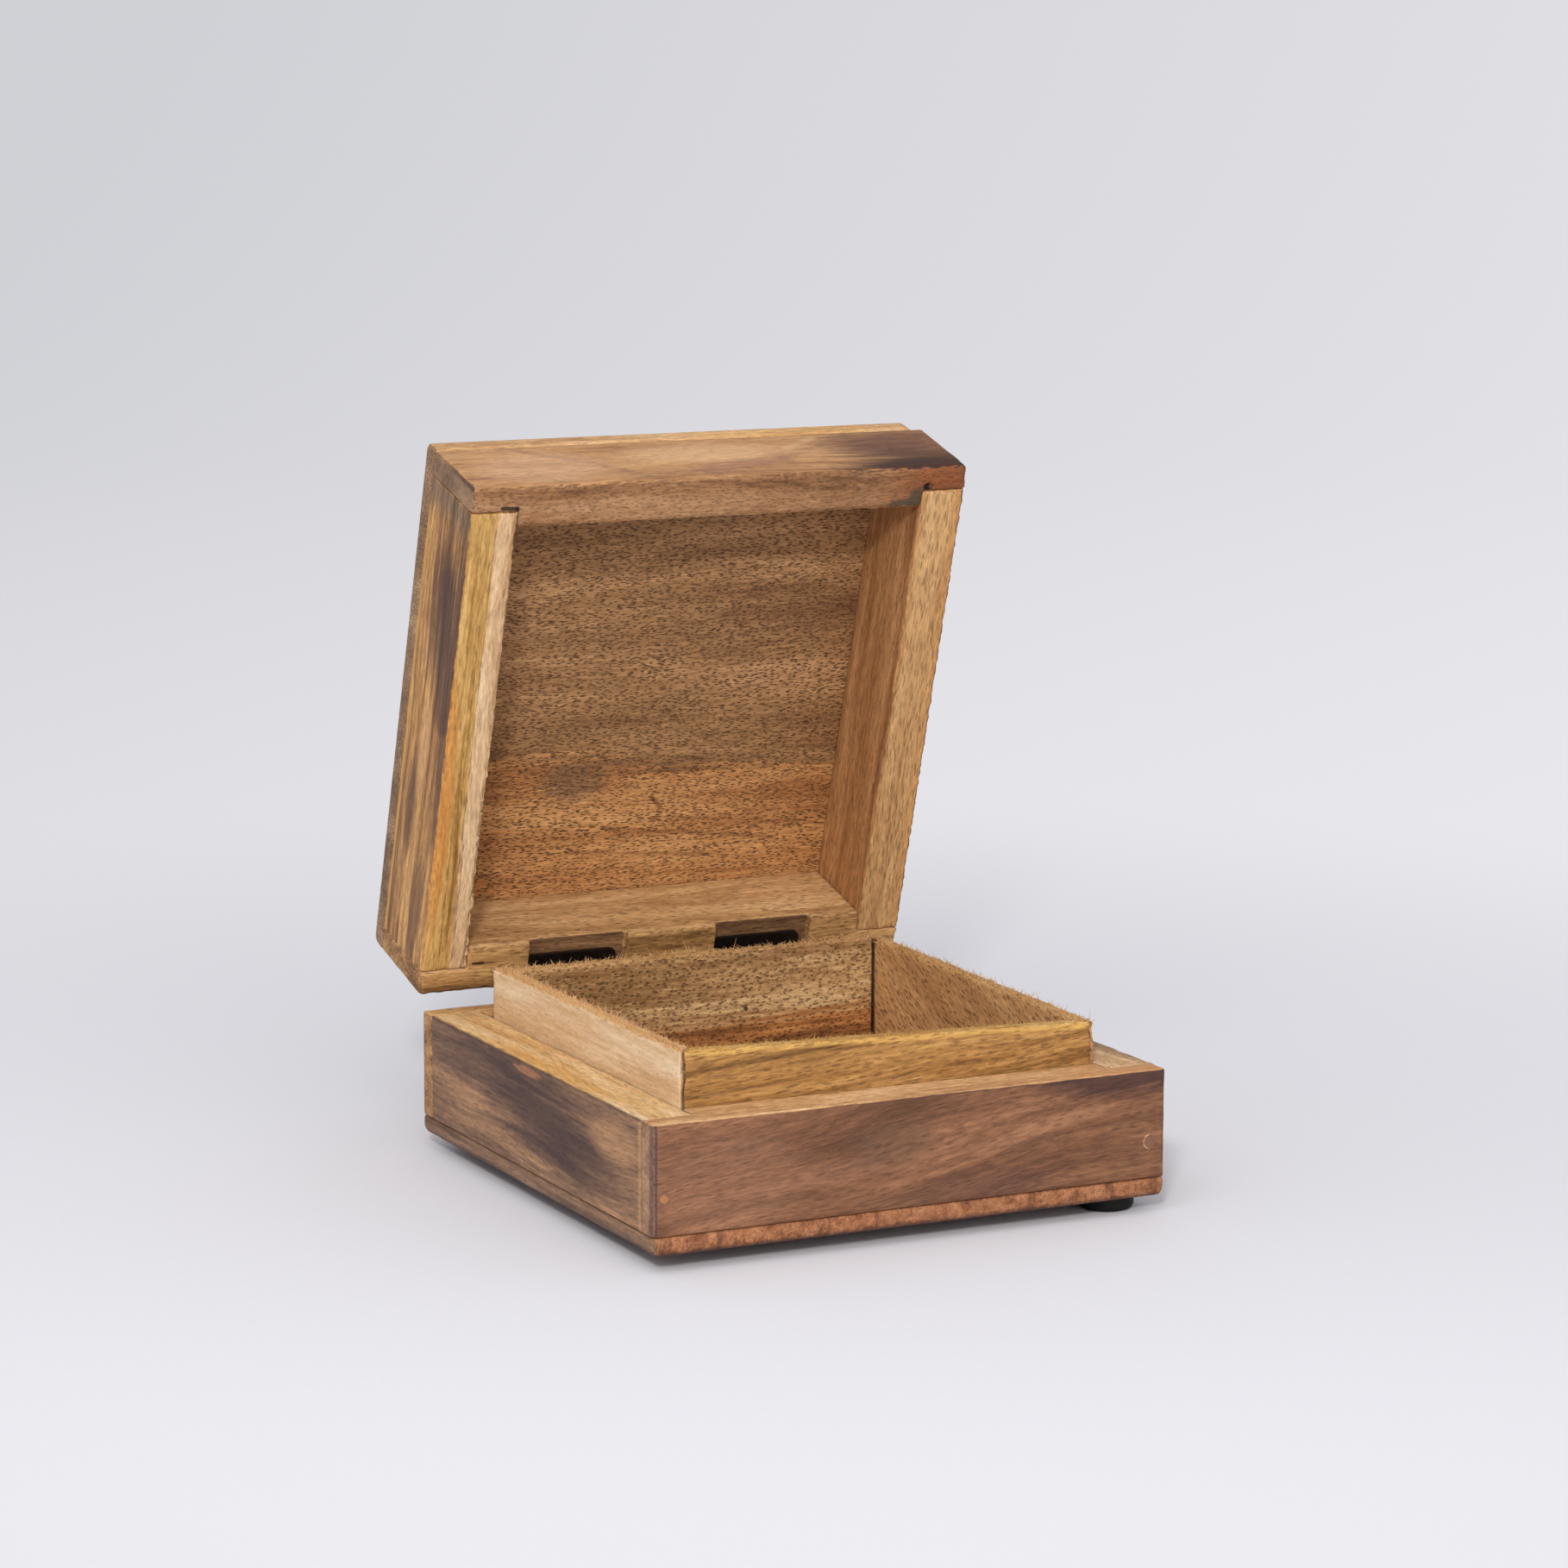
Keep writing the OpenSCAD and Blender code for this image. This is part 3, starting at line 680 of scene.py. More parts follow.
def body_front_wood():
    """Purple-brown, with fine dark lines that fan out to the right and a burnt top edge at the right."""
    wood = Wood("dark_wood", "xzy", [(95, 61, 40), (118, 78, 53), (131, 89, 61), (152, 104, 73)],
                lean=8, band=0.2, drift=9, seed=1, pores=(3.2, 0.7, 0.27), pore_depth=0.35)
    wood.patches(front_face, (((-36, 11), (14, 9), 0.3, (164, 118, 90)),
        ((-16, 11.5), (8, 2.4), 0.2, (166, 120, 92)), ((-4, 15), (9, 4.4), 0.45, (104, 76, 56)),
        ((12, 5.6), (17, 2.8), 0.5, (88, 58, 48))))
    wood.lines(front_face, [((12, 12), (36, 17.5), 0.8, 1.4, 0.3, (166, 120, 86))])
    fan = (((-27, 3.6), (-6, 9.8), 0.875), ((-6, 9.8), (14, 12.4), 0.75), ((-20, 4.2), (4, 10.2), 0.625),
           ((-12, 3.6), (12, 8.6), 0.6875), ((2, 6.4), (24, 9.4), 0.625), ((14, 12.4), (47, 14.5), 0.4375),
           ((18, 4.4), (44, 8.8), 0.625), ((-46, 17), (-20, 19), 0.4375))
    wood.lines(front_face, [(*ends, 0.16, 0.3, share, (70, 44, 36)) for *ends, share in fan], ragged=0.7)
    wood.patches(front_face, [((42, 22.6), (17, 3.2), 0.85, (66, 42, 38))])
    wood.burn(wood.stripe(wood.z, 23.2, 0.25) * wood.smooth(wood.x, -30, 10) * wood.faces(front) * 0.6)
    wood.stain(wood.stripe(wood.x, -49.7, 0.35) * wood.faces(front, 0.6) * 0.8, (74, 48, 52))
    rim = wood.faces(up)
    wood.grained(rim, [(176, 126, 84), (206, 158, 108), (222, 176, 126), (234, 192, 144)])
    wood.stain(wood.smooth(wood.x, 22, 44) * rim * 0.7, (196, 132, 74))
    end = wood.faces(left)
    wood.grained(end, [(124, 92, 70), (152, 114, 84), (170, 130, 98), (186, 146, 112)])
    wood.stain(wood.smooth(wood.y, -48.6, -49.8) * end * 0.75, (92, 64, 60))
    wood.stain(wood.stripe(wood.y, -45.9, 0.12, 0.2) * end * 0.5, (84, 58, 44))
    around_brad = wood.vector("DISTANCE", wood.place, (46.9, -50.75, 10.3), out=1)
    crescent = wood.stripe(around_brad, 1.2, 0.18, 0.25)
    wood.stain(crescent * wood.faces(front) * wood.smooth(wood.x, 47.0, 46.2) * 0.8, (204, 156, 114))
    return wood.done()


def body_left_wood():
    """Tan with a large burnt smudge in the middle, over a lighter curly band."""
    wood = Wood("burnt_wood", "yzx", [(92, 68, 54), (126, 94, 71), (148, 111, 81), (177, 133, 96)],
                band=0.25, drift=8, seed=2, pores=(4.0, 0.8, 0.24), pore_depth=0.3)
    curls = wood.noise(wood.vector("MULTIPLY", wood.place, (0.3, 0.22, 0.5)), detail=3, roughness=0.7)
    low_band = wood.spot((-50, 12, 0.6), (4, 46, 4.6))
    wood.grained(low_band * 0.85, [(100, 74, 55), (124, 93, 70), (142, 108, 82), (160, 124, 94)])
    wood.stain(low_band * wood.smooth(curls, 0.5, 0.62) * 0.4, (92, 66, 50))
    wood.patches(left_face, (((22, 18.5), (20, 5.0), 0.5, burnt), ((-3, 14.5), (20, 6.4), 0.74, burnt),
        ((-19, 10.5), (16, 5.4), 0.66, burnt)), deep=5, soft=0.6)
    wood.patches(left_face, [((2, 21.6), (5, 0.7), 0.6, (186, 126, 84))], ragged=1.6)
    wood.patches(left_face, [((-35, 17), (9, 3.8), 0.55, (184, 138, 96))])
    wood.stain(wood.stripe(wood.y, -45.2, 0.4) * 0.6, (190, 146, 100))
    wood.burn(wood.stripe(wood.z, 23.1, 0.25, 0.4) * wood.faces(left) * 0.6)
    rim = wood.faces(up)
    wood.grained(rim, [(196, 146, 92), (216, 172, 114), (226, 188, 136), (232, 200, 156)])
    wood.patches((2, 23), [((-48.4, -6), (2.6, 26), 0.5, (218, 160, 78))], on=rim)
    wood.burn(wood.stripe(wood.x, -50, 0.25) * rim * 0.6)
    return wood.done()


def body_back_wood():
    """Golden brown and coarse, with painted shade on the floors of the hinge recesses."""
    wood = Wood("back_wood", "xzy", [(104, 72, 44), (142, 102, 64), (168, 124, 80), (194, 150, 102)],
                band=0.3, drift=9, seed=3)
    wood.grained(wood.faces(up), [(166, 118, 68), (190, 142, 86), (206, 160, 102), (220, 178, 122)])
    wood.lines((1, 50), [((-34, 6), (26, 16), 0.5, 1.4, 0.45, (96, 62, 40))])
    # Painted shade: the upward faces below the rim are the floors of the hinge recesses, and they are darkened.
    wood.stain(wood.smooth(wood.z, 22.6, 22.0) * wood.faces(up) * 0.6, (112, 80, 52))
    wood.patches(behind, [((-30, 20), (16, 4), 0.5, burnt)])
    return wood.done()


def body_right_wood():
    """Warm brown on the outside, with a pale rim."""
    wood = Wood("right_wood", "yzx", [(112, 76, 50), (148, 106, 72), (172, 128, 88), (198, 154, 110)],
                band=0.24, drift=9, seed=4)
    rim = wood.faces(up)
    wood.grained(rim, [(190, 144, 96), (208, 164, 116), (220, 180, 136), (228, 194, 154)])
    wood.patches(right_face, [((-28, 20), (18, 5), 0.55, burnt)])
    wood.burn(wood.stripe(wood.x, 50, 0.3) * rim * 0.6)
    return wood.done()


def bottom_wood():
    """Orange along the front, where the end grain shows as soft upright marks, tan at the sides, and darkened
    along the bottom edge as painted shade.
    """
    wood = Wood("base_wood", "yxz", [(106, 64, 39), (144, 91, 57), (162, 106, 69), (183, 126, 86)],
                band=0.3, seed=5, pores=(3.0, 0.7, 0.25), pore_depth=0.3)
    cracks = wood.noise(wood.stretch(0.02, 0.4, 0.05), detail=2)
    mottling = wood.noise(wood.vector("MULTIPLY", wood.place, (0.45, 0.45, 0.8)), detail=3, roughness=0.7)
    wood.stain(wood.smooth(mottling, 0.48, 0.62) * 0.4, (176, 122, 84))
    wood.stain(wood.smooth(mottling, 0.46, 0.34) * 0.4, (116, 68, 42))
    wood.stain(wood.smooth(cracks, 0.6, 0.68) * 0.55, (92, 52, 34))
    sides = wood.faces(left, 0.5) + wood.faces(right, 0.5)
    wood.grained(sides, [(96, 70, 52), (120, 90, 67), (138, 105, 80), (158, 122, 93)])
    # Painted shade under the box: the rounded bottom edge, up to about a millimetre and a half from the underside,
    # is darkened.
    edge = wood.smooth(wood.z + (wood.streaks - 0.5) * 1.5, 1.5, 0.2)
    wood.stain(edge * 0.75, (70, 42, 32))
    return wood.done()


# %% The five boards of the lower half
wall_cell = 0.42 * mm
panel_cell = 0.56 * mm
bottom_round = 1.6 * mm
along_y = (500, 60, 500)

bottom = board("bottom_board", "bottom")
round_edges(bottom, bottom_round, lambda middle, way: on_outline(middle.z, base_low.z) and way.z < 0.5)
side_low, side_high = shut_box("body_left_wall")
box_joints = [(2, base_high.z), (1, side_low.y), (1, side_high.y)]
wear(bottom, panel_cell, 0.25 * mm, grain=along_y, joints=box_joints[:1], seed=1)
fit(bottom, "box", "base_wood", bottom_wood(), "bottom_board")

notches = [(in_box(50.3, -50.9, 11.3), 1.1 * mm, 0.7 * mm),
           (in_box(-50.2, 50.9, 9.6), 1.0 * mm, 1.4 * mm)]
cross_wear = {"chips": notches, "seed": 2}
side_wear = {"grain": along_y, "seed": 3}
for side, slot_name, finish_wood, settings in (("front", "dark_wood", body_front_wood, cross_wear),
                                               ("back", "back_wood", body_back_wood, cross_wear),
                                               ("left", "burnt_wood", body_left_wood, side_wear),
                                               ("right", "right_wood", body_right_wood, side_wear)):
    piece = wall("body", side)
    wear(piece, wall_cell, 0.22 * mm, joints=box_joints, **settings)
    fit(piece, "box", slot_name, finish_wood(), f"body_{side}_wall")

# %% [markdown]
# ## The liner
# Four thin slips, mitred at the corners, line the lower half. Their tops were left as the saw made
# them, so they are rough and hairy. Their sloping tops and mitres are the working model's own, so each
# slip starts as a merged copy of its node.

# %% Finishes of the slips
slip_front_face = (1, -40)
slip_left_face = (0, -40)


def slip_wood(name, grain, tones, top_tones, seed, **options):
    """A slip's finish: planed faces below and a sawn top in other tones."""
    wood = Wood(name, grain, tones, seed=seed, **options)
    wood.grained(wood.faces(up, 0.7), top_tones)
    return wood


def slip_front_wood():
    """Golden, with a bright band under its sawn top and a few dark grain lines."""
    wood = slip_wood("slip_gold", "xzy", [(102, 68, 32), (147, 104, 53), (170, 124, 68), (191, 148, 87)],
                     [(159, 111, 51), (193, 142, 77), (208, 163, 96), (219, 179, 116)], 6, lean=5,
                     pores=(2.8, 0.5, 0.3), pore_depth=0.45, band=0.4)
    below_top = wood.z + wood.x * 0.031 + (wood.streaks - 0.5) * 1.4
    wood.stain(wood.stripe(below_top, 31.8, 0.6, soft=0.7) * wood.faces(front) * 0.75, (214, 168, 90))
    wood.lines(slip_front_face, [((-36, 25), (6, 24), 0.4, 1.2, 0.4, (204, 160, 104))])
    grain_lines = (((-36, 26.6), (-20, 26.3)), ((-30, 25.2), (-8, 25.0)), ((2, 27.6), (18, 28.2)),
                   ((8, 26), (36, 24.8)), ((20, 28.6), (38, 28.8)))
    wood.lines(slip_front_face, [(*ends, 0.15, 0.4, 0.6, (92, 58, 32)) for ends in grain_lines], ragged=0.8)
    return wood.done()


def slip_left_wood():
    """Pale and nearly plain."""
    wood = slip_wood("slip_pale", "yzx",
                     [(204, 166, 122), (217, 182, 139), (226, 195, 155), (232, 206, 171)],
                     [(186, 136, 84), (208, 160, 104), (222, 180, 124), (234, 200, 148)], 7,
                     pores=(2.4, 0.8, 0.16), pore_depth=0.3, fibre=0.35)
    wood.patches(slip_left_face, (((8, 29), (18, 3), 0.4, (204, 154, 100)),
        ((-28, 26), (12, 2.4), 0.3, (194, 152, 106))))
    wood.stain(wood.stripe(wood.y, -41, 0.3, 0.5) * 0.6, (110, 76, 50))
    return wood.done()


def slip_back_wood():
    """Woolly from the saw, with an orange streak low on the right and a dirty corner low on the left."""
    wood = slip_wood("slip_rough", "xzy", [(142, 100, 55), (188, 145, 94), (218, 177, 122), (236, 200, 147)],
                     [(176, 128, 76), (200, 154, 100), (214, 172, 118), (226, 190, 140)], 8,
                     pores=(1.1, 0.6, 0.34), pore_depth=0.55, fibre=0.9, band=0.1)
    wool = wood.noise(wood.vector("MULTIPLY", wood.grain, (0.7, 1.7, 1.7)), detail=4, roughness=0.8)
    wood.stain(wood.smooth(wool, 0.48, 0.6) * wood.faces(front) * 0.55, (104, 68, 38))
    wood.stain(wood.smooth(wool, 0.44, 0.34) * wood.faces(front) * 0.5, (224, 190, 142))
    wood.fibres = wood.fibres * 0.5 + wool * 0.5
    low = wood.smooth(wood.z - wood.x * 0.03 + (wood.streaks - 0.5) * 6, 19.5, 16)
    wood.grained(low, [(94, 57, 28), (156, 100, 52), (195, 131, 72), (222, 160, 96)])
    wood.patches((1, 40), [((-16, 15), (12, 3), 0.7, (66, 48, 28))])
    wood.stain(wood.stripe(wood.x, 37.7, 0.25, 0.3) * 0.85, (44, 24, 16))
    return wood.done(relief=0.5)


def slip_right_wood():
    """Pinkish brown, with long slanting pores."""
    wood = slip_wood("slip_brown", "yzx", [(173, 127, 81), (189, 142, 92), (201, 154, 103), (215, 168, 115)],
                     [(160, 112, 62), (190, 142, 84), (206, 162, 104), (222, 182, 128)], 9, lean=24,
                     pores=(2.2, 0.6, 0.32), pore_depth=0.6, band=0.12)
    wood.stain(wood.stripe(wood.y, 37.65, 0.2, 0.3) * 0.8, (52, 28, 18))
    return wood.done()


# %% [markdown]
# ### Loose fibres
# A saw tears wood that is cut this thin: hairs stand up all along the tops of the slips. One hair is a
# cone of three sides, cut by bisect into four short lengths so that it can bend. An array modifier makes
# the others, and the code then moves each copy to a point of the slip's top.

# %% A hair, and many of them
hair_cuts = 3


def hairs(name, count):
    """Many straight copies of one hair, in one object."""
    bpy.ops.object.select_all(action="DESELECT")
    bpy.ops.mesh.primitive_cone_add(vertices=3, radius1=0.5, radius2=0.06, depth=1, end_fill_type="NOTHING")
    hair = bpy.context.object
    hair.name = name
    bpy.ops.object.mode_set(mode="EDIT")
    for i in range(hair_cuts):
        bpy.ops.mesh.select_all(action="SELECT")
        middle = (i + 1) / (hair_cuts + 1) - 0.5
        bpy.ops.mesh.bisect(plane_co=(0, 0, middle), plane_no=(0, 0, 1))
    bpy.ops.object.mode_set(mode="OBJECT")
    apply_modifier(hair, "ARRAY", count=count, use_relative_offset=False, use_constant_offset=True,
                   constant_offset_displace=(2, 0, 0))
    return hair


def fuzz(piece, name, where, count, length, thick, spread, room, seed):
    """Hairs that stand on the points of a piece where where(places, normals) is true.

    spread says how far they lean along x, y and z, and room how far they may pass the piece's own box.
    """
    dice = np.random.default_rng(seed)
    places, normals = read_points(piece)
    wanted = np.flatnonzero(where(places, normals))
    chosen = dice.choice(wanted, count)
    roots = places[chosen] - normals[chosen] * thick
    ways = normals[chosen] * 0.7 + dice.normal(size=(count, 3)) * np.array(spread)
    ways = ways / np.linalg.norm(ways, axis=1)[:, None]
    curls = dice.normal(size=(count, 3)) * np.array(spread) * 0.9
    lengths = length * (0.3 + dice.exponential(0.55, count).clip(0, 2.6))
    across = np.cross(ways, dice.normal(size=(count, 3)))
    across = across / np.linalg.norm(across, axis=1)[:, None]
    beside = np.cross(ways, across)

    tuft = hairs(name, count)
    straight, _ = read_points(tuft)
    straight = straight.reshape(count, -1, 3)
    straight[:, :, 0] -= 2.0 * np.arange(count)[:, None]
    up_hair = (straight[:, :, 2] + 0.5)[:, :, None]
    way_up = ways[:, None] * up_hair + curls[:, None] * up_hair ** 2 / 2
    bent = roots[:, None] + lengths[:, None, None] * way_up
    bent = bent + thick * (across[:, None] * straight[:, :, :1] + beside[:, None] * straight[:, :, 1:2])
    low, high = (np.array(corner) for corner in mesh_box(piece))
    bent = np.clip(bent, low - np.array(room), high + np.array(room))
    write_points(tuft, bent.reshape(-1, 3))
    alone(tuft)
    bpy.ops.object.shade_smooth()
    return tuft


# %% The four slips
slip_cell = 0.36 * mm
sawn_from = body_rim + 4 * mm
hair_thick = 0.22 * mm
hair_room = (0.2 * mm, 0.5 * mm, 2 * mm)
slip_tones = {"front": [(158, 114, 54), (194, 150, 80), (218, 178, 108)],
              "back": [(176, 130, 78), (212, 168, 112), (234, 200, 152)],
              "left": [(200, 146, 92), (226, 176, 122), (240, 206, 160)],
              "right": [(176, 126, 72), (210, 162, 104), (232, 192, 140)]}


def hair_finish(name, tones):
    """Hairs in the tones of the sawn top that they stand on."""
    paint = Paint(name)
    place = paint.add("TexCoord", {}, {}, out=3)
    return paint.finish(0.7, **{"Base Color": paint.ramp(paint.noise(place, scale=1100.0), tones)})


def on_top(places, normals):
    """Points of a slip's sawn top, and of its faces just under that."""
    return (normals[:, 2] > 0.3) & (places[:, 2] > sawn_from)


for side, slot_name, finish_wood in (("front", "slip_gold", slip_front_wood),
                                     ("back", "slip_rough", slip_back_wood),
                                     ("left", "slip_pale", slip_left_wood),
                                     ("right", "slip_brown", slip_right_wood)):
    slip = copy_of(f"liner_{side}", f"slip_{side}")
    low, high = mesh_box(slip)
    wear(slip, slip_cell, 0.25 * mm, grain=(400, 400, 700), wave=0.2 * mm, seed=4,
         bites=[(lambda places: (places[:, 2] > sawn_from).astype(float), 0.8 * mm)])
    write_points(slip, np.clip(read_points(slip)[0], low, high))
    fit(slip, "box", slot_name, finish_wood(), f"liner_{side}")
    lean = (1.0, 0.5, 0.5) if side in ("front", "back") else (0.5, 1.0, 0.5)
    count, length = (3000, 0.5 * mm) if side == "front" else (2400, 0.7 * mm)
    tuft = fuzz(slip, f"fibres_{side}", on_top, count, length, hair_thick, lean, hair_room, seed=len(side))
    fit(tuft, "box", slot_name, hair_finish(f"{slot_name}_fibres", slip_tones[side]))

# %% [markdown]
# ## Boards of the lid
# The lid is built as the lower half is, upside down: a board glued over four rabbeted walls. It is
# modelled shut and turned open at the end.

# %% Finishes of the lid
rim_face = (2, 0)
panel_face = (2, 18.8)


def lid_front_wood():
    """Pinkish, with one long lens in the grain and a burnt right end."""
    wood = Wood("pink_wood", "xzy", [(139, 93, 56), (177, 129, 84), (193, 144, 97), (207, 160, 110)],
                on_lid=True, band=0.16, drift=9, seed=10, pores=(3.6, 0.7, 0.18), pore_depth=0.42, fibre=0.6)
    grey = (140, 104, 84)
    wood.lines(front_face, (((-38, 18.8), (-21.3, 7.9), 0.2, 1.4, 0.55, grey),
        ((-21.3, 7.9), (-12.0, 0), 0.2, 1.4, 0.65, grey), ((-12, 3), (-1.5, 3.8), 0.2, 1.6, 0.35, grey),
        ((-1.5, 3.8), (14.7, 7.5), 0.6, 3.0, 0.45, (150, 106, 92)),
        ((14.7, 7.5), (32, 17), 0.2, 1.8, 0.4, grey)), ragged=2)
    wood.patches(front_face, (((0, 12), (15, 4.5), 0.45, (220, 180, 136)),
        ((-34, 8), (12, 7), 0.4, (214, 172, 138))))
    wood.lines(front_face, [((17.6, 12), (25.5, 16.8), 0.5, 1.0, 0.5, (224, 182, 134))])
    wood.patches(front_face, [((5, 19), (3.5, 0.8), 0.6, (150, 104, 70))])
    char = (58, 32, 26)
    wood.patches(front_face, [((48, 10), (19, 14), 0.7, (108, 66, 48))], soft=0.5)
    wood.patches(front_face, (((36, 12), (9, 5), 0.5, (92, 64, 58)), ((40, 7), (12, 2.6), 0.5, char)),
        soft=0.6)
    wood.patches(front_face, [((43, 0.4), (19, 5.2), 0.92, char)], soft=0.5)
    wood.burn(wood.stripe(wood.z, 0, 0.35) * wood.smooth(wood.x, -16, 10) * wood.faces(front) * 0.7)
    scratches = (((41.5, 12.2), (48, 13.4), 0.7), ((43.5, 14.0), (48.5, 12.6), 0.6),
                 ((38, 10.4), (45, 10.0), 0.4))
    wood.lines(front_face, [(*ends, 0.1, 0.25, share, (196, 148, 110)) for *ends, share in scratches])
    wood.stain(wood.spot((46.7, -50.7, 15.4), (1.0, 2, 0.6), ragged=0.3), (30, 20, 16))
    rim = wood.faces(down)
    wood.grained(rim, [(98, 62, 34), (138, 96, 60), (156, 114, 76), (174, 132, 92)])
    wood.peppered(rim, 1.3, 0.4, 0.38)
    wood.stain(wood.smooth(wood.x + (wood.streaks - 0.5) * 8, 30, 44) * rim * 0.85, (134, 72, 34))
    wood.patches(rim_face, (((36.8, -43.3), (2.8, 1.2), 0.9, (82, 68, 48)),
        ((39.9, -44.4), (1.8, 2.2), 0.9, (74, 62, 44))), on=rim, deep=2, ragged=0.4)
    wood.stain(wood.spot((42.0, -46.6, 0), (0.8, 0.8, 2), ragged=0.2) * rim, (22, 14, 12))
    wood.gap((-44.0, -46.6, 0), (-41.1, -46.5, 0), 0.3)
    wood.gap((-41.1, -46.5, 0), (-40.7, -43.0, 0), 0.25)
    end = wood.faces(left, 0.6)
    wood.grained(end, [(98, 74, 56), (128, 98, 74), (146, 114, 86), (164, 132, 100)])
    wood.burn(wood.stripe(wood.y, -50.6, 0.5) * wood.smooth(wood.z, 15, 5) * end * 0.7)
    return wood.done()


def lid_back_wood():
    """Yellowish tan, with painted shade on the floors of the hinge recesses."""
    wood = Wood("lid_back_wood", "xzy", [(112, 76, 42), (148, 106, 62), (172, 128, 80), (194, 150, 98)],
                on_lid=True, band=0.3, drift=8, seed=11)
    wood.grained(wood.faces(front), [(158, 116, 72), (184, 140, 92), (200, 156, 106), (214, 174, 124)])
    rim = wood.faces(down)
    wood.grained(rim, [(112, 78, 40), (156, 114, 66), (182, 138, 84), (204, 160, 104)])
    wood.gap((-39.5, 44.9, 0), (-37.5, 44.9, 0), 0.2)
    # Painted shade: the floors of the hinge recesses, which face down when the box is shut, get much darker tones.
    recess_shade = wood.smooth(wood.z, 0.6, 1.2) * rim
    wood.grained(recess_shade, [(66, 42, 24), (100, 70, 44), (124, 90, 58), (152, 112, 74)])
    wood.patches(behind, [((0, 10), (30, 7), 0.35, burnt)])
    return wood.done()


def lid_left_wood():
    """Golden and cream on the rim, streaked and burnt on the outer face."""
    wood = Wood("sap_wood", "yzx", [(117, 80, 47), (159, 112, 66), (186, 138, 84), (215, 166, 104)],
                on_lid=True, band=0.45, drift=7, seed=12, pores=(4, 0.7, 0.22), pore_depth=0.35)
    outer = wood.faces(left)
    wood.patches(left_face, [((-24, 8), (16, 5.4), 0.62, burnt)], soft=0.5)
    wood.lines(left_face, [((-30, 7), (-4, 3), 1.6, 2.4, 0.6, burnt)], on=outer)
    wood.patches(left_face, [((-12, 0.8), (32, 3.0), 0.7, burnt)], on=outer)
    wood.patches(left_face, (((17, 13), (10, 2.4), 0.55, burnt), ((36, 6), (12, 2.6), 0.45, burnt),
        ((33, 16), (12, 1.6), 0.3, burnt)))
    wood.patches(left_face, [((3, 9.5), (9, 2.2), 0.5, (212, 166, 116))], on=outer)
    wood.stain(wood.stripe(wood.z, 18.0, 0.4) * outer * 0.7, (206, 156, 88))
    wood.stain(wood.stripe(wood.z, 15.4, 0.12, 0.3) * outer * 0.5, (196, 146, 84))
    front_end = wood.smooth(wood.y, -38, -44) * outer
    wood.grained(front_end, [(92, 72, 54), (120, 94, 70), (138, 110, 82), (156, 126, 94)])
    wood.burn(wood.stripe(wood.z, 0, 0.2, 0.25) * wood.smooth(wood.y, 20, 14) * outer * 0.9)
    rim = wood.faces(down)
    wood.grained(rim, [(144, 102, 46), (178, 136, 74), (194, 153, 88), (204, 167, 105)])
    cream = wood.smooth(wood.x + (wood.streaks - 0.5) * 2, -45.2, -44.2) * rim
    wood.grained(cream, [(170, 128, 84), (198, 160, 118), (209, 175, 134), (218, 188, 150)])
    wood.patches(rim_face, [((-49.3, 14), (1.6, 24), 0.6, (196, 124, 54))], on=rim, deep=2, ragged=1.6)
    grain_lines = (((-44.9, -40), (-44.6, 34)), ((-45.9, -24), (-45.5, 40)), ((-46.8, 8), (-46.6, 44)),
                   ((-44.2, 20), (-44.0, 44)))
    drawn = [(*ends, 0.03, 0.2, 0.55, (118, 78, 36)) for ends in grain_lines]
    wood.lines(rim_face, drawn, on=rim, ragged=0.6)
    return wood.done()


def lid_right_wood():
    """Warm brown, with long pores on the rim and a burnt outer edge."""
    wood = Wood("lid_right_wood", "yzx", [(133, 89, 51), (163, 114, 70), (179, 130, 83), (198, 148, 102)],
                on_lid=True, band=0.2, drift=4, seed=13, pores=(3, 0.7, 0.24), pore_depth=0.45)
    rim = wood.faces(down)
    wood.grained(rim, [(163, 117, 69), (180, 134, 84), (192, 148, 96), (204, 163, 112)])
    wood.peppered(rim, 3.2, 0.44, 0.32)
    wood.stain(wood.smooth(wood.x + (wood.streaks - 0.5), 47.6, 49.6) * rim * 0.6, (204, 140, 74))
    wood.burn(wood.stripe(wood.x, 50, 0.3) * rim * 0.7)
    wood.grained(wood.faces(right), [(104, 72, 50), (142, 102, 70), (164, 122, 86), (190, 150, 108)])
    wood.patches(right_face, [((10, 9), (20, 5), 0.5, burnt)])
    return wood.done()


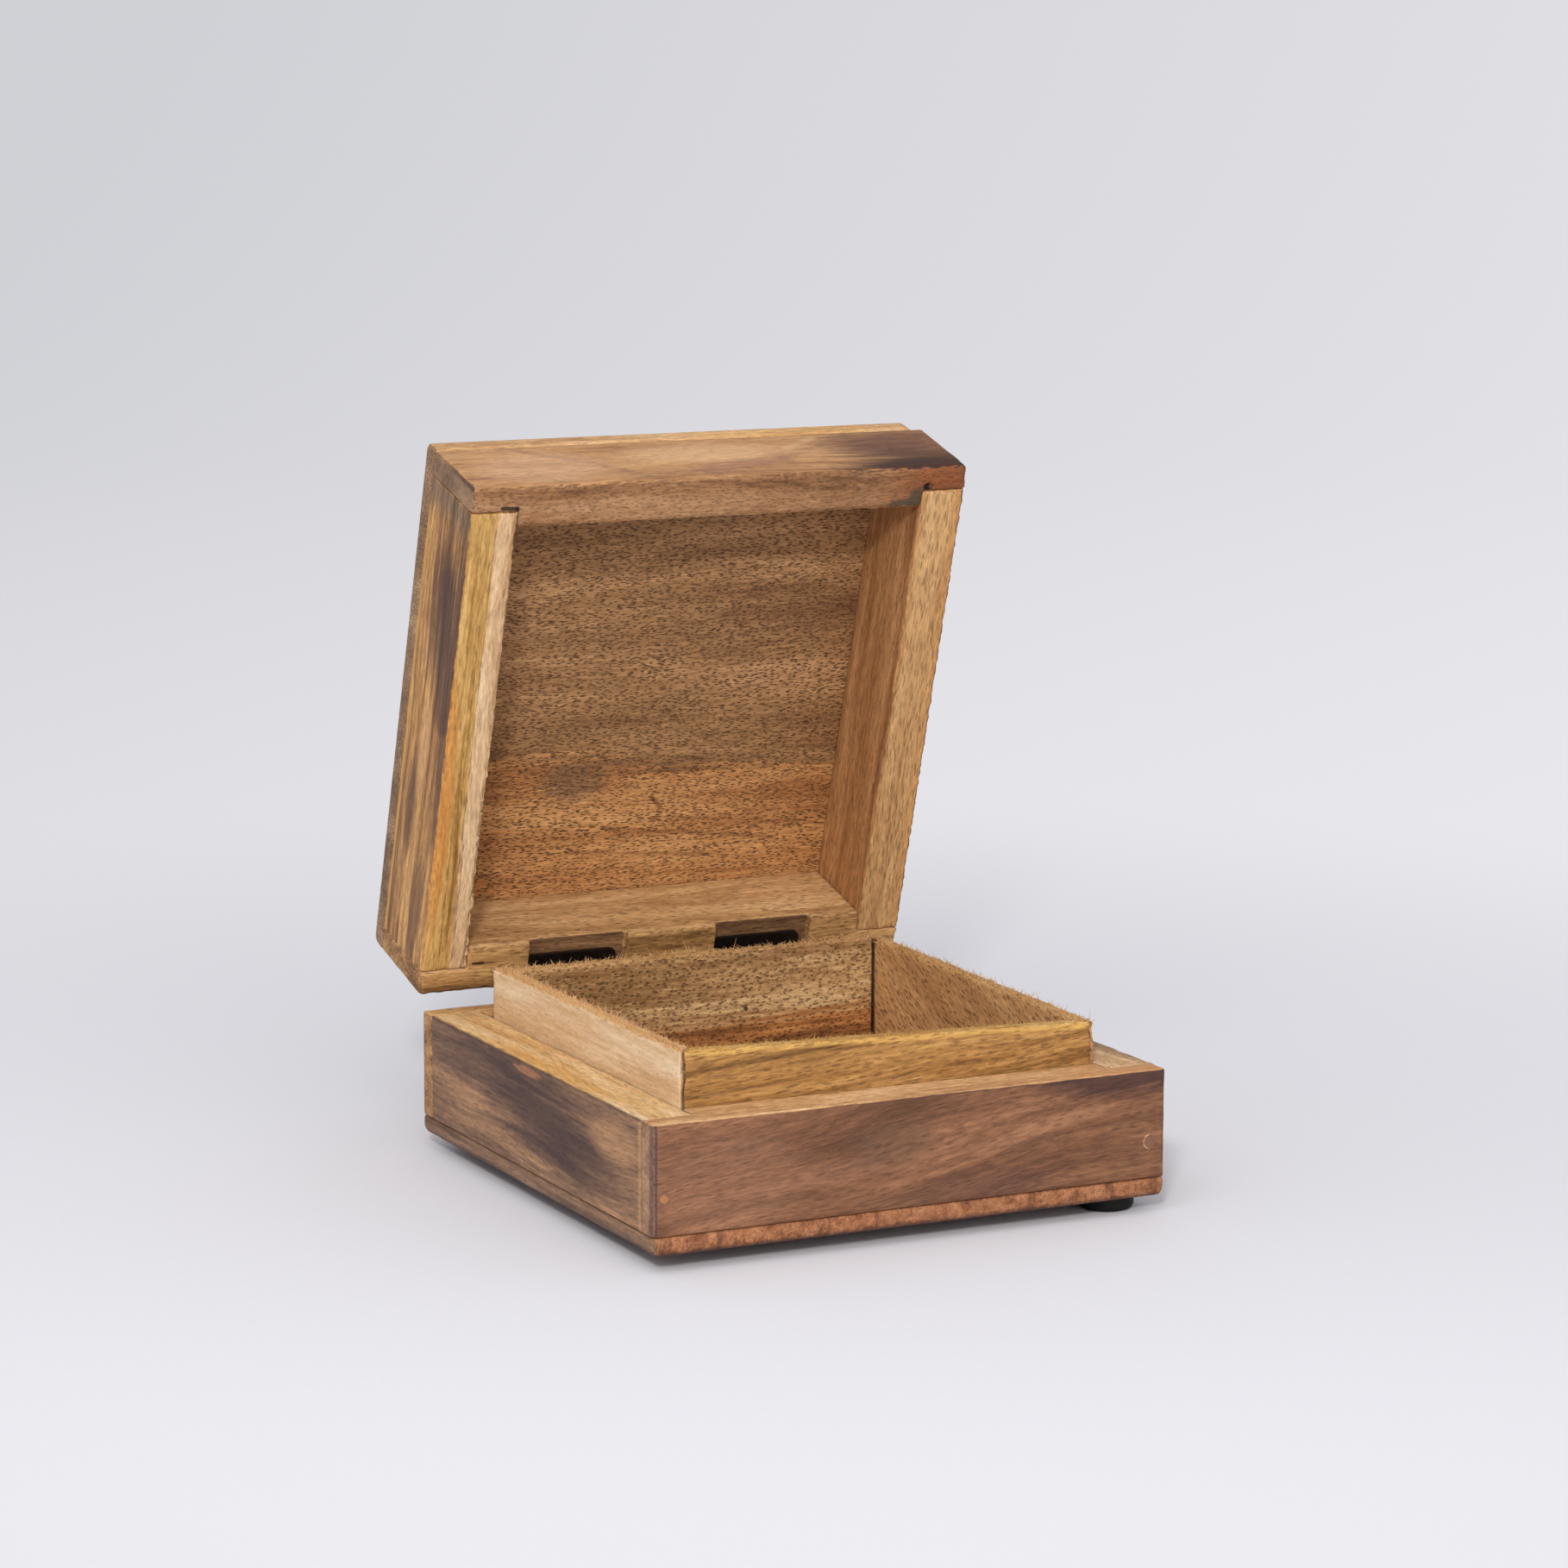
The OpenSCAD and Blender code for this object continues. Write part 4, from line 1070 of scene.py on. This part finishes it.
def top_wood():
    """The panel: dense pores, greyer toward the front, with an orange band toward the back."""
    wood = Wood("panel_wood", "xyz", [(128, 89, 57), (151, 111, 70), (167, 124, 82), (188, 144, 98)],
                on_lid=True, band=0.13, drift=6, seed=14, pores=(1.25, 0.29, 0.38), pore_depth=0.82)
    inside = wood.faces(down)
    border = wood.y - 14.5 - wood.x * 0.1 + (wood.streaks - 0.5) * 8 + (wood.bands - 0.5) * 14
    wood.grained(wood.smooth(border, -1.6, 1.6) * inside,
                 [(150, 98, 54), (178, 123, 73), (192, 139, 85), (207, 155, 100)])
    wood.grained(wood.spot((-14.5, 18.5, 19), (6.5, 3.6, 9), ragged=1.4) * inside * 0.8,
                 [(113, 83, 57), (137, 103, 70), (154, 118, 83), (174, 135, 96)])
    brown = (112, 68, 38)
    wood.lines(panel_face, (((2.6, 22.6), (4.8, 25), 0.35, 0.3, 0.7, brown),
        ((-7, 28.5), (31, 33.5), 0.15, 0.5, 0.45, brown), ((-14, 33), (20, 36.5), 0.15, 0.5, 0.4, brown),
        ((8, 27.5), (39, 31), 0.1, 0.4, 0.4, brown)))
    edge = wood.faces(front, 0.5)
    wood.grained(edge, [(176, 128, 82), (206, 160, 112), (220, 178, 130), (230, 194, 150)])
    wood.stain(wood.stripe(wood.x, 20, 14, 8) * edge * 0.4, (222, 170, 100))
    wood.pores = wood.pores * (1 - edge * 0.8)
    wood.grained(wood.faces(left, 0.5), [(112, 84, 62), (142, 110, 80), (160, 126, 94), (180, 146, 110)])
    return wood.done()


# %% The five boards of the lid


def fit_lid(piece, slot, material, *nodes):
    """Turns a piece that was modelled shut to where the open lid holds it, and fits it."""
    piece.data.transform(opening)
    fit(piece, "lid", slot, material, *nodes)


lid_top = copy_of("top_board", "top")
lid_top.data.transform(shutting)
side_low, side_high = shut_box("lid_left_wall")
lid_joints = [(2, top_low.z), (1, side_low.y), (1, side_high.y)]
wear(lid_top, panel_cell, 0.3 * mm, joints=lid_joints[:1], seed=5)
fit_lid(lid_top, "panel_wood", top_wood(), "top_board")


def near_rim(places):
    return (places[:, 2] < lid_rim + 0.8 * mm).astype(float)


def splintered(places):
    """The inner edge of the left rim, from its middle to near its back end."""
    inner = places[:, 0] > in_lid(-42.2, 0, 0).x
    along = np.clip((places[:, 1] - in_lid(0, 2, 0).y) / (10 * mm), 0, 1)
    return near_rim(places) * inner * along * (places[:, 0] < 0)


cross_wear = {"bites": [(near_rim, 0.7 * mm)], "seed": 6,
              "chips": [(in_lid(42, -46.6, 0), 0.9 * mm, 1.0 * mm)]}
side_wear = {"bites": [(near_rim, 0.4 * mm), (splintered, 1.8 * mm)], "seed": 7, "grain": along_y,
             "chips": [(in_lid(-50.2, 28.3, 0), 1.2 * mm, 0.6 * mm)]}
for side, slot_name, finish_wood, settings in (("front", "pink_wood", lid_front_wood, cross_wear),
                                               ("back", "lid_back_wood", lid_back_wood, cross_wear),
                                               ("left", "sap_wood", lid_left_wood, side_wear),
                                               ("right", "lid_right_wood", lid_right_wood, side_wear)):
    piece = wall("lid", side)
    wear(piece, wall_cell, 0.25 * mm, joints=lid_joints, **settings)
    fit_lid(piece, slot_name, finish_wood(), f"lid_{side}_wall")

# %% [markdown]
# ## Metal, filler and bumpers
# The hinges, screws, pins and brads are true to size in the working model already, so they keep their
# meshes and only get a finish.

# %% Small finishes


def small_finish(name, scale, detail, tones, rough, bump=0.0, shine=0.5, metallic=0.0):
    """A finish with faint clouds of tone and gloss. rough holds its least value and how much it varies."""
    paint = Paint(name)
    cloud = paint.noise(paint.add("TexCoord", {}, {}, out=3), scale=scale, detail=detail)
    sockets = {"Base Color": paint.ramp(cloud, tones), "Metallic": metallic}
    if bump:
        settings = {"Height": cloud, "Strength": 0.3, "Distance": bump}
        sockets["Normal"] = paint.add("Bump", {}, settings)
    least, varying = rough
    return paint.finish(cloud * varying + least, shine, **sockets)


def black_metal(name, least_rough):
    """Blackened steel: nearly black, with a faint brown bloom and scuffed gloss."""
    return small_finish(name, 700.0, 3, [(10, 8, 7), (22, 17, 14), (40, 31, 25)], (least_rough, 0.3),
                        bump=0.05 * mm, metallic=0.3)


def filler():
    """Orange at the left, and at the right as dark as the wood. Both fade into the wood around them."""
    paint = Paint("putty")
    place = paint.add("TexCoord", {}, {}, out=3)
    cloud = paint.noise(place, scale=1800.0, detail=3)
    across = paint.add("SeparateXYZ", {}, {0: place}, out=0)
    high = paint.add("SeparateXYZ", {}, {0: place}, out=2)
    flat = paint.vector("MULTIPLY", place, (1, 0, 1))
    middle = Vector((in_box(-48, 0, 0).x, 0, in_box(0, 0, 10.3).z))
    away = paint.vector("DISTANCE", flat, middle, out=1)
    patch = paint.smooth(away / mm + (cloud - 0.5) * 1.4, 1.0, 0.5)
    dark = paint.ramp(cloud, [(94, 62, 46), (118, 82, 60), (136, 96, 72)])
    orange = paint.ramp(cloud, [(130, 82, 40), (168, 112, 62), (186, 132, 78)])
    tan = paint.ramp(cloud, [(164, 122, 84), (190, 148, 106), (204, 162, 118)])
    colour = paint.mix(patch, dark, orange)
    colour = paint.mix(paint.smooth(high, 0.04, 0.05) * paint.smooth(across, 0.01, -0.01), colour, tan)
    bump = paint.add("Bump", {}, {"Height": cloud, "Strength": 0.5, "Distance": 0.1 * mm})
    return paint.finish(cloud * 0.2 + 0.6, **{"Base Color": colour, "Normal": bump})


hinge_black = black_metal("black_hinge", 0.25)
screw_black = black_metal("black_screw", 0.2)
steel = small_finish("steel", 1500.0, 2, [(120, 118, 112), (168, 166, 160)], (0.2, 0.3), metallic=1.0)
bumper = small_finish("bumper", 1200.0, 3, [(8, 8, 8), (18, 17, 17)], (0.5, 0.2), bump=0.05 * mm, shine=0.25)
putty = filler()
small_finishes = {"leaf": hinge_black, "hinge_pin": hinge_black, "screws": screw_black,
                  "brads": steel, "liner_pin": steel, "putty": putty, "foot": bumper}
for node, thing in frame["nodes"].items():
    for word, finish in small_finishes.items():
        if word in node:
            thing.data.materials.clear()
            thing.data.materials.append(finish)
